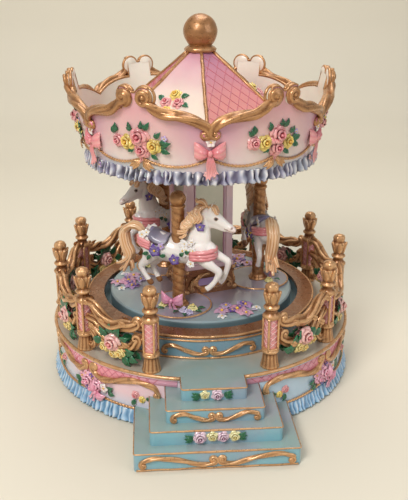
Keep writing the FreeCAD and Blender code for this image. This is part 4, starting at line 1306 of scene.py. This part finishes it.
# ---------------------------------------------------------------- column, poles and turntable
def column_trim():
    """Beads round the mirrors, gold bands, and the plinth's scrolls."""
    sculpt = Sculpt()
    for k in range(4):
        out, across = facing(COLUMN_TURN + 90 * k)
        face = on_plane(out * COLUMN_HALF, across, (0, 0, 1))
        frame_line = [(8.6, 66.4), (8.6, 112.6), (7.4, 114.0), (-7.4, 114.0), (-8.6, 112.6), (-8.6, 66.4),
                      (-7.4, 65.0), (7.4, 65.0), (8.6, 66.4)]
        tube(sculpt, [face(u, v, 0.0) for u, v in frame_line], 0.5, hue("C79AAF"), 1, 8)
        inner = [(u * 0.93, 89.5 + (v - 89.5) * 0.985) for u, v in frame_line]
        tube(sculpt, [face(u, v, -0.55) for u, v in inner], 0.28, WHITE, 0, 6)
        base = on_plane(out * 15.0, across, (0, 0, 1))
        upper = flourish([(1.5, 57.2), (6.0, 56.4), (10.2, 53.6), (12.4, 49.8)], end=(1.5, 0.8, -1))
        lower = flourish([(2.0, 48.4), (6.5, 49.2), (9.4, 52.0)], end=(1.2, 0.8, 1))
        for side in (-1, 1):
            scroll(sculpt, base, mirrored(upper, side), 1.25, 0.2, twist=4)
            scroll(sculpt, base, mirrored(lower, side), 1.0, 0.2, twist=4)
        panel = [[base(u, v, 0.05 - 0.1 * (u / 9) ** 2) for u in (-7.5, -4, 0, 4, 7.5)]
                 for v in (50.4, 52.4, 54.6)]
        sculpt.surface(panel, hue("A58BB5"), 1)
        edge = out * 14.6 + across * 14.6
        blob(sculpt, edge + Vector((0, 0, 47.2)), (2.0, 2.0, 1.7), WHITE, 0, 8, 14)
        blob(sculpt, edge * 0.97 + Vector((0, 0, 59.0)), (1.5, 1.5, 1.2), WHITE, 0, 8, 14)
    sculpt.object("column_trim", "carousel", "gold_resin")


def pole_at_front():
    """Barley-twist pole with a ball on top."""
    sculpt = Sculpt(SHADED_GOLD, PAINTED)
    low = PLATE_TOP - 0.2
    high = POLE_TOP - 2 * POLE_BALL_R + 0.6
    path = [Vector((0, -HORSE_R, low + (high - low) * i / 150)) for i in range(151)]
    turns = 6.5

    def twist(s, a):
        """Two rounded strands that wind up the pole."""
        return (POLE_R - 0.35) * (1 + 0.10 * abs(math.sin(a - turns * s * TAU)) ** 0.6)
    tube(sculpt, path, twist, WHITE, 0, 32)
    lathe(sculpt, [(5.6, low), (5.4, low + 0.9), (4.4, low + 1.5), (4.0, low + 2.6), (3.4, low + 3.2)],
          centre=(0, -HORSE_R), sides=40, wave=lambda z, a: 1 + 0.03 * math.sin(7 * a))
    lathe(sculpt, [(3.3, high - 1.2), (4.0, high - 0.7), (4.0, high + 0.2), (3.2, high + 0.6)],
          centre=(0, -HORSE_R), sides=40)
    centre = Vector((0, -HORSE_R, POLE_TOP - POLE_BALL_R))
    rows = []
    for i in range(25):
        tilt = math.pi * (0.01 + 0.98 * i / 24)
        rows.append([centre + Vector((math.sin(tilt) * math.cos(TAU * j / 40),
                                      math.sin(tilt) * math.sin(TAU * j / 40), -math.cos(tilt)))
                     * (POLE_BALL_R - 0.06 + 0.06 * math.sin(5 * TAU * j / 40 + 4 * tilt))
                     for j in range(40)])
    sculpt.surface(rows, WHITE, 0, wrap=True, caps=True)
    return sculpt


PLATE_RIM_R = 17.6
OLIVE_PAIR = (hue("C9A63A"), hue("F2E9A6"))


def plate_dressing():
    """Gold rim, bow and roses at a pole's foot, and the loose flowers between the horses."""
    sculpt = Sculpt()
    for k, angle in enumerate(HORSE_ANGLES):
        centre = around(HORSE_R, angle, PLATE_TOP)
        turns = [TAU * i / 90 for i in range(90)]
        rim = [centre + Vector((PLATE_RIM_R * math.cos(t), PLATE_RIM_R * math.sin(t), -0.25)) for t in turns]
        tube(sculpt, rim + rim[:1], 0.5, WHITE, 0, 8)
        out, side = facing(angle)
        ground = on_plane(centre, side, -out)

        def front(u, v, h=0.0, centre=centre, out=out, side=side):
            return centre + side * u + out * (6.4 + h) + Vector((0, 0, v))
        bow(sculpt, spot(front, -1.2, 4.8, 0.2), 6.2, hue("C0608E"), hue("EDB0C4"), 2, 0.95)
        for u, v, size, tones in ((9.4, -4.0, 3.0, OLIVE_PAIR),
                                  (6.2, -8.4, 2.7, (hue("9C86B8"), hue("DCD3E6"))),
                                  (-7.2, -5.0, 2.6, OLIVE_PAIR),
                                  (9.8, -9.6, 2.2, (hue("9C86B8"), hue("CFC3DF")))):
            rose(sculpt, spot(ground, u, v, 0.4, u * 31), size, *tones)
        leaves(sculpt, ground, ((3.4, -9.8, 250), (7.8, -11.4, 290), (-5.0, -9.0, 215), (12.0, -6.6, -10),
                                (12.2, -3.0, 20)), 0.3, 4.0, 2.3)
        rng = random.Random(20 + k)
        out, side = facing(angle + 48)
        loose = on_plane(around(42.6, angle + 48, TABLE_TOP), side, -out)
        for u, v, size, tone in ((0, 0, 5.6, hue("D49AB4")), (-8.4, 2.0, 4.8, hue("CDA2BC")),
                                 (7.0, 3.0, 4.6, hue("B08CBC")), (2.0, -6.2, 4.2, hue("DBA7BC")),
                                 (-3.0, 7.0, 4.0, hue("B59CC4")), (10.6, -2.6, 2.8, WHITE),
                                 (-11.4, -3.6, 2.9, WHITE)):
            blossom(sculpt, spot(loose, u, v, 0.0, rng.uniform(0, 360)), size, tone,
                    mixed(tone, VIOLET, 0.25))
        for u, v in ((2.4, 1.2), (-3.6, -1.0), (6.6, 5.0)):
            blossom(sculpt, spot(loose, u, v, 0.9, rng.uniform(0, 360)), 2.4, VIOLET, LILAC)
        leaves(sculpt, loose, ((-4.5, 4.2, 120), (3.6, 5.4, 50), (-7.6, -2.2, 200), (5.6, -4.0, -40),
                               (0.2, -7.0, -90)),
               0.0, 4.6, 2.2, tone=hue("A597B4"), edge=hue("C6BCCE"))
    sculpt.object("turntable_flowers", "carousel", "pastel_resin")


# ---------------------------------------------------------------- horses
def muscle(sculpt, stations, steps=6, sides=16):
    """Rounded limb through stations: along, side, height, half thickness in the horse's plane and across."""
    ends = [stations[0]] + list(stations) + [stations[-1]]
    fine = []
    for four in zip(ends, ends[1:], ends[2:], ends[3:]):
        fine += [[spline(*values, i / steps) for values in zip(*four)] for i in range(steps)]
    fine.append(list(stations[-1]))
    centres = [horse_point(f[0], f[1], f[2]) for f in fine]
    rows = []
    for i, f in enumerate(fine):
        along = ahead(centres, i).normalized()
        side = Vector((0, 1, 0))
        side = (side - along * side.dot(along)).normalized()
        up = side.cross(along)
        rows.append([centres[i] + up * (f[3] * math.cos(TAU * j / sides))
                     + side * (f[4] * math.sin(TAU * j / sides)) for j in range(sides)])
    sculpt.surface(rows, HORSE_WHITE, 0, wrap=True, caps=True)
    for i, f in ((0, fine[0]), (-1, fine[-1])):
        blob(sculpt, centres[i], (f[3] * 0.98, f[4] * 0.98, f[3] * 0.98), HORSE_WHITE, 0, 8, sides)


def horse_point(along, side, height):
    return Vector((along, -HORSE_R - side, height))


HORSE_PARTS = [
    # barrel, from the rump to the chest
    [(-17.6, 0, 80.6, 5.6, 4.9), (-13.5, 0, 80.2, 7.6, 6.1), (-7, 0, 78.4, 7.5, 6.0),
     (0, 0, 77.6, 6.7, 5.9), (7.5, 0, 78.6, 7.3, 5.9), (13.5, 0, 80.4, 7.6, 5.5), (17.0, 0, 80.2, 4.9, 4.2)],
    # neck
    [(10.5, 0, 82.0, 7.6, 4.9), (12.0, 0, 87.2, 6.6, 4.2), (13.0, 0, 92.4, 5.4, 3.4),
     (14.6, 0, 97.0, 4.4, 2.9), (16.6, 0, 100.2, 3.6, 2.7)],
    # head and jaw
    [(16.2, 0, 100.0, 3.4, 2.6), (19.2, 0, 98.9, 4.1, 3.0), (22.6, 0, 97.0, 3.4, 2.6),
     (26.2, 0, 94.9, 2.5, 2.0), (29.0, 0, 93.4, 2.3, 1.9), (30.4, 0, 92.7, 1.9, 1.7)],
    [(18.4, 0, 95.6, 3.2, 2.3), (21.4, 0, 94.8, 2.6, 2.0), (26.0, 0, 92.6, 1.5, 1.3)],
    # thighs and hind legs, near then far
    [(-14.0, 2.6, 80.0, 6.4, 3.6), (-14.6, 3.2, 75.6, 5.0, 3.0), (-17.4, 3.4, 71.0, 2.9, 2.2),
     (-20.2, 3.4, 67.6, 1.9, 1.7), (-18.4, 3.4, 63.2, 1.4, 1.3), (-16.2, 3.4, 60.2, 1.6, 1.5),
     (-15.0, 3.4, 58.6, 1.8, 1.7)],
    [(-12.4, -2.6, 79.6, 6.2, 3.6), (-11.8, -3.2, 75.0, 4.8, 2.9), (-13.6, -3.4, 70.2, 2.8, 2.1),
     (-16.4, -3.4, 66.4, 1.9, 1.6), (-15.2, -3.4, 62.2, 1.4, 1.3), (-13.6, -3.4, 59.6, 1.6, 1.5),
     (-12.6, -3.4, 58.0, 1.8, 1.7)],
    # forelegs, near then far
    [(13.0, 2.6, 79.0, 5.6, 3.2), (17.0, 3.2, 74.4, 3.6, 2.6), (21.6, 3.4, 71.6, 2.3, 1.9),
     (24.2, 3.4, 69.6, 2.1, 1.8), (22.4, 3.4, 65.0, 1.5, 1.4), (19.8, 3.4, 61.4, 1.5, 1.4),
     (17.6, 3.4, 59.4, 1.6, 1.5), (15.6, 3.4, 58.4, 1.9, 1.7)],
    [(14.0, -2.4, 80.0, 5.2, 3.0), (19.6, -3.0, 77.2, 3.2, 2.3), (24.4, -3.2, 75.2, 2.2, 1.8),
     (27.0, -3.2, 73.4, 2.0, 1.7), (26.2, -3.2, 68.8, 1.5, 1.4), (24.6, -3.2, 64.2, 1.5, 1.4),
     (22.8, -3.2, 61.6, 1.6, 1.5), (21.0, -3.2, 60.4, 1.9, 1.7)],
]


HOOVES = [part[-1][:3] for part in HORSE_PARTS[4:]]
HOOF_R = 2.9


def horse_colour(h, w, z):
    """Paint of the cast horse at one point: along, to the side and up, in millimetres, with painted shade
    under the belly.
    """
    # painted shade: greyer round the underside of the belly, from 67 to 75 mm up
    colour = mixed(HORSE_WHITE, hue("C9BDB8"), max(0, 0.35 - abs(z - 71) / 12))
    for a, b, c in HOOVES:
        if (h - a) ** 2 + (w - b) ** 2 + (z - c + 0.6) ** 2 < HOOF_R ** 2:
            colour = hue("8A5A2E")
    mouth = abs((z - 92.3) - (h - 29.5) * -0.30)
    if h > 26.2 and mouth < 0.28:
        colour = mixed(hue("7A4A3C"), colour, 0.15)
    nostril = (h - 30.3) ** 2 + (z - 94.0) ** 2
    if nostril < 0.30 and abs(w) > 1.0:
        colour = hue("6B4038")
    eye = math.hypot((h - 22.1) * 0.75, z - 98.5)
    if eye < 0.62 and abs(w) > 1.6:
        colour = DARK
    elif eye < 0.95 and abs(w) > 1.6:
        colour = hue("A88A7A")
    muzzle = h > 28.0 and z < 95
    return mixed(colour, hue("E2C2B4"), 0.35) if muzzle else colour


def horse_body():
    """Closed, smoothed cast horse; the paint follows where each point lies."""
    sculpt = Sculpt(PAINTED)
    for part in HORSE_PARTS:
        muscle(sculpt, part)
    for side in (-1, 1):
        ear = [horse_point(18.4, side * 1.5, 102.0), horse_point(19.2, side * 1.9, 104.2),
               horse_point(20.2, side * 2.1, 106.8)]
        tube(sculpt, ear, lambda s, a: 1.2 * (1 - 0.8 * s), HORSE_WHITE, 0, 10)
        blob(sculpt, horse_point(22.0, side * 2.2, 98.5), (1.1, 0.8, 0.8), HORSE_WHITE, 0, 8, 12)
        blob(sculpt, horse_point(29.8, side * 1.5, 93.9), 0.75, HORSE_WHITE, 0, 6, 10)
    made = sculpt.object("horse_cast_1")
    remesh = made.modifiers.new("remesh", "REMESH")
    remesh.mode = "VOXEL"
    remesh.voxel_size = 0.42 * MM
    soften = made.modifiers.new("soften", "SMOOTH")
    soften.iterations = 9
    soften.factor = 0.5
    graph = bpy.context.evaluated_depsgraph_get()
    mesh = bpy.data.meshes.new_from_object(made.evaluated_get(graph))
    made.modifiers.clear()
    made.data = mesh
    mesh.materials.clear()
    mesh.materials.append(PAINTED)
    mesh.polygons.foreach_set("use_smooth", [True] * len(mesh.polygons))
    for layer in list(mesh.color_attributes):
        mesh.color_attributes.remove(layer)
    paint = mesh.color_attributes.new("Paint", "FLOAT_COLOR", "POINT")
    for i, vertex in enumerate(mesh.vertices):
        x, y, z = (c / MM for c in vertex.co)
        paint.data[i].color = (*horse_colour(x, -y - HORSE_R, z), 1)
    mesh.color_attributes.active_color = paint
    return made


def lock(sculpt, points, thick, flat=0.7, curl=0.2):
    """Tapering lock of hair with strands along it."""
    path = smooth_line([horse_point(*p) for p in points], 6)

    def radius(s, a):
        body = thick * (0.35 + 0.65 * math.sin(math.pi * min(0.2 + 0.78 * s, 1)) ** 0.8)
        return body * (1 + curl * math.cos(5 * a + 6 * s))

    def shade(s, t):
        return mixed(CARAMEL, PALE_CARAMEL, 0.5 + 0.5 * math.cos(t * TAU * 5 + 6 * s))
    tube(sculpt, path, radius, shade, 1, 15, None, flat)


# the saddle cloth: how far along, low height, half width and top height at each row
SADDLE = [(-14.8, 82, 5.9, 88.4), (-13.4, 80.5, 6.7, 88.8), (-11, 79.5, 6.9, 87.2), (-8, 79.5, 6.8, 86.0),
          (-5.4, 80.5, 6.7, 85.8), (-4.2, 82, 6.2, 86.6)]


def saddle_cloth(sculpt):
    """Striped cloth over the horse's back, round on top and hanging straight at the sides."""
    rows = []
    for h, low, half, top in SADDLE:
        row = []
        middle = (low + top) / 2
        for j in range(25):
            a = (j / 12 - 1) * 1.65
            past = abs(a) - math.pi / 2
            z = middle + (top - middle) * math.cos(a) if past < 0 else middle - past * (middle - low) * 3
            row.append(horse_point(h, half * math.sin(a), z + 0.3))
        rows.append(row)
    stripes = (lambda s, t: mixed(hue("6C687C"), hue("ADA8B8"), 0.5 + 0.5 * math.sin(s * 25)))
    sculpt.sheet(rows, Vector((0, 0, -0.5)), stripes)


def horse_dressing():
    """Mane, tail, saddle, garlands and flowers that go on the horse."""
    sculpt = Sculpt()
    rng = random.Random(17)
    for side in (-1, 1):
        for i in range(12):
            s = i / 11
            root = Vector((15.4 - 8.6 * s, side * 0.7, 103.8 - 10.4 * s + 1.2 * math.sin(math.pi * s)))
            fall = rng.uniform(0.85, 1.2) * (6.4 - 1.2 * s)
            sweep = rng.uniform(0.6, 1.3)
            steps = ((0, 0, 0), (-2.2 * sweep, 2.0, -0.3), (-3.4 * sweep, 3.1 + s, -fall * 0.34),
                     (-1.0 * sweep, 3.9 + 1.1 * s, -fall * 0.70), (-3.0 * sweep, 3.9 + 1.4 * s, -fall * 0.98),
                     (-5.2 * sweep, 3.8 + 1.4 * s, -fall * 1.02))
            lock(sculpt, [(root.x + a, side * (0.7 + b * 0.9), root.z + c) for a, b, c in steps], 1.25,
                 curl=0.22)
    for points in ([(16.6, 0, 103.4), (14.2, 0.5, 106.6), (11.4, 0.4, 106.2), (10.2, 0, 107.6)],
                   [(16, 0, 103.0), (11.8, -0.6, 103.0), (8.2, 0, 99.2), (5.4, 0.4, 99.6)],
                   [(15, 0, 101.5), (9.6, 0.6, 98.6), (6.0, 0.2, 94.4), (3.2, 0.2, 94.2)],
                   [(11, 0, 97.5), (7.0, -0.4, 95.0), (4.8, 0.2, 91.8), (2.6, 0.2, 92.2)],
                   [(17.6, 0.5, 103.6), (20.4, 1.4, 103.8), (22.0, 1.8, 101.6), (23.2, 1.6, 101.2)],
                   [(17.2, -0.6, 103.6), (20.0, -1.4, 103.6), (21.4, -1.9, 101.4), (22.4, -1.6, 100.8)]):
        lock(sculpt, points, 1.7)
    tail = [(-19.4, 84.6), (-22.4, 88.4), (-27.4, 88.8), (-31.4, 84.4), (-30.6, 77.6), (-28.4, 72.0)]
    ends = [((-31.0, 66.0), (-35.0, 61.6)), ((-29.8, 66.6), (-31.8, 62.0)), ((-32.0, 68.0), (-35.6, 66.6)),
            ((-27.0, 67.6), (-26.2, 64.2)), ((-29.6, 67.4), (-33.8, 64.0)), ((-30.6, 69.8), (-33.8, 69.6)),
            ((-28.6, 66.0), (-29.0, 61.2))]
    for i, (flick, tip) in enumerate(ends):
        a = TAU * i / len(ends)
        points = [(h + 1.5 * math.cos(a) * min(k / 2, 1), 1.7 * math.sin(a) * min(k / 2, 1),
                   z + 1.0 * math.cos(a) * min(k / 2, 1))
                  for k, (h, z) in enumerate(tail)]
        lock(sculpt, points + [(flick[0], 2.2 * math.sin(a), flick[1]),
                               (tip[0], 2.6 * math.sin(a), tip[1])], 1.75, flat=0.85)

    saddle_cloth(sculpt)
    cantle = [horse_point(-14.6, w, 88.6 - abs(w) ** 1.6 * 0.28)
              for w in (-5, -3.4, -1.7, 0, 1.7, 3.4, 5)]
    tube(sculpt, cantle, 1.15, hue("8A83A2"), 1, 10)
    for side in (-1, 1):
        def shoulder(u, v, d=0.0, side=side):
            return horse_point(side * u, side * (6.1 + d), v)
        for _ in range(34):
            h, z = 3.4 + 7.6 * rng.random(), 77.6 + 8.2 * rng.random()
            reach = 5.6 * math.sqrt(max(0.12, 1 - ((z - 79.5) / 8.6) ** 2))
            at = spot(shoulder, side * h, z, reach - 5.1, rng.uniform(0, 360))
            blossom(sculpt, at, rng.uniform(1.3, 1.9), WHITE, mixed(WHITE, LILAC, 0.35))
    # three pink cords round the chest and three round the rump; each outline is one side, then the other
    chest = [(9.0, 6.2), (13.2, 6.5), (17.2, 5.6), (19.9, 3.2), (20.8, 0.0)]
    rump = [(-13.4, 6.6), (-17.0, 6.2), (-20.4, 4.6), (-22.0, 2.2), (-22.3, 0)]
    chest, rump = [half + [(h, -w) for h, w in half[-2::-1]] for half in (chest, rump)]
    for lane, drop in ((-1.6, 0.2), (0.0, 0.3), (1.6, 0.2)):
        slope = 1 if lane > 0 else 0.6
        low_cord = [horse_point(h, w, 78.0 + lane + 0.12 * (h - 9) * slope - drop) for h, w in chest]
        high_cord = [horse_point(h, w, 82.6 + lane * 0.85 - 0.20 * (h + 22)) for h, w in rump]
        for cord, thick in ((low_cord, 1.3), (high_cord, 1.15)):
            tube(sculpt, smooth_line(cord, 4), lambda s, a: thick * (1 + 0.10 * math.sin(50 * s + lane)),
                 lambda s, t: mixed(DEEP_PINK, PALE_PINK, 0.68 + 0.3 * math.sin(t * TAU)), 1, 9)
    for side in (-1, 1):
        def flank(u, v, h=0.0, side=side):
            return horse_point(side * u, side * (6.4 + h), v)
        for u, v, size, petal in ((-10.8, 78.6, 3.9, VIOLET), (0.4, 74.8, 3.3, VIOLET),
                                  (-18.6, 86.2, 2.6, WHITE), (-16.0, 87.6, 2.1, WHITE),
                                  (9.6, 73.8, 2.6, WHITE), (-7.2, 81.4, 2.1, LILAC),
                                  (14.0, 93.8, 2.9, VIOLET)):
            depth = -2.6 if u == 14.0 else (-1.6 if v > 86 else 0.2 if abs(u) < 11 else -0.6)
            at = spot(flank, side * u, v, depth, rng.uniform(0, 360))
            blossom(sculpt, at, size, petal, mixed(petal, WHITE, 0.4))
        marks = ((-14.6, 77.0, 200), (-13.4, 75.8, 240), (3.4, 77.4, 40), (6.2, 79.4, 20),
                 (-4.6, 76.6, 190))
        leaves(sculpt, flank, [(side * u, v, turn if side > 0 else 180 - turn) for u, v, turn in marks],
               0.1, 3.6, 2.1)
    return sculpt.object("horse_dressing_1")


canopy_wall()
canopy_gilding()
# tones: the cloth's pale colour, the dark painted shade of the fold valleys, and a tint
frill("canopy_frill", "canopy_ruffle", "carousel", "ruffle_resin", folds=104, uneven=0.72, high=128.4,
      low=121.3, radius_high=61.7, radius_low=62.4, swing=1.7,
      tones=(hue("B4B8C6"), hue("2F2C4A"), hue("82789A")))
frill("base_frill", "base_ruffle", "base", "ruffle_resin", folds=176, uneven=0.45, high=RUFFLE_TOP - 1.5,
      low=RUFFLE_LOW, radius_high=84.0, radius_low=86.2, swing=0.75,
      tones=(hue("A9CBE2"), hue("4E86B0"), hue("8FB7D8")))
canopy_flowers()
roof_lattice()
finial()
rib_gilding()
wall_ornaments()
step_ornaments()
stage_ornaments()
ride_copies(post_at_front().object("post_1"), "post", POST_ANGLES, "base",
            ["fence_posts"] * POST_COUNT)
RAIL_ANGLES = [(a + b) / 2 for a, b in zip(POST_ANGLES, POST_ANGLES[1:])]
for name, mirror, angles in (("rail_right", 1, [a for a in RAIL_ANGLES if a > 180]),
                             ("rail_left", -1, [a for a in RAIL_ANGLES if a < 180])):
    rail = rail_at_front(mirror).object(f"{name}_1")
    ride_copies(rail, name, angles, "base", ["fence_rails"] * len(angles))
column_trim()
pole_nodes, horse_nodes = ([f"{node}_{i + 1}" for i in range(HORSE_COUNT)] for node in ("pole", "horse"))
ride_copies(pole_at_front().object("pole_twist_1"), "pole_twist", HORSE_ANGLES, "carousel",
            pole_nodes)
plate_dressing()
cast, dressing = horse_body(), horse_dressing()
ride_copies(cast, "horse_cast", HORSE_ANGLES, "carousel", horse_nodes)
ride_copies(dressing, "horse_dressing", HORSE_ANGLES, "carousel")


# ---------------------------------------------------------------- studio
# side view of the paper sweep: how far back and how high
SWEEP = [(-1.6, 0.0), (0.5, 0.0), (0.62, 0.015), (0.70, 0.06), (0.74, 0.14), (0.75, 0.25), (0.75, 1.6)]
SWEEP_HALF = 2.0
# name, place, size, power and colour
LIGHTS = [("key_light", (-0.45, -0.75, 0.85), 0.42, 9.4, (1.0, 0.97, 0.94)),
          ("fill_light", (0.75, -0.55, 0.55), 0.7, 2.1, (0.93, 0.96, 1.0)),
          ("top_light", (0.05, 0.25, 0.95), 0.6, 4.2, (1.0, 0.99, 0.97))]
LIGHT_AIM = Vector((0, 0, 0.08))
SKY_COLOUR = (0.86, 0.89, 0.93, 1)
SKY_STRENGTH = 0.33
# the camera that a fit to the photo gave
LENS = 54.97
TARGET = Vector((1.875, -0.137, 65.86)) * MM
CAMERA_WAY = Vector((-0.06825, -0.93369, 0.35151))
CAMERA_REACH = 441.3 * MM


def aimed(way):
    """Rotation of a lamp or camera that looks along a direction."""
    return way.to_track_quat("-Z", "Y").to_euler()


def studio():
    """Paper sweep, three soft lamps, pale sky and the photo's camera."""
    mesh = bpy.data.meshes.new("floor")
    points = [(x, y, z) for y, z in SWEEP for x in (-SWEEP_HALF, SWEEP_HALF)]
    mesh.from_pydata(points, [], [(2 * i, 2 * i + 1, 2 * i + 3, 2 * i + 2) for i in range(len(SWEEP) - 1)])
    mesh.polygons.foreach_set("use_smooth", [True] * len(mesh.polygons))
    n = Nodes("studio_paper", Roughness=0.8)
    mesh.materials.append(n.finish(n.mix(n.noise(3), hue("E0D8C6"), hue("D9D1BE"))))
    new_object("floor", mesh)
    for name, where, size, power, tint in LIGHTS:
        data = bpy.data.lights.new(name, "AREA")
        data.size = size
        data.energy = power
        data.color = tint
        light = new_object(name, data)
        light.location = where
        light.rotation_euler = aimed(LIGHT_AIM - Vector(where))
    scene = bpy.context.scene
    scene.world = scene.world or bpy.data.worlds.new("studio")
    scene.world.use_nodes = True
    sky = scene.world.node_tree.nodes["Background"].inputs
    sky[0].default_value = SKY_COLOUR
    sky[1].default_value = SKY_STRENGTH
    camera = new_object("camera", bpy.data.cameras.new("camera"))
    camera.data.lens = LENS
    camera.location = TARGET + CAMERA_WAY * CAMERA_REACH
    camera.rotation_euler = aimed(-CAMERA_WAY)
    scene.camera = camera
    scene.view_settings.view_transform = "Standard"


studio()
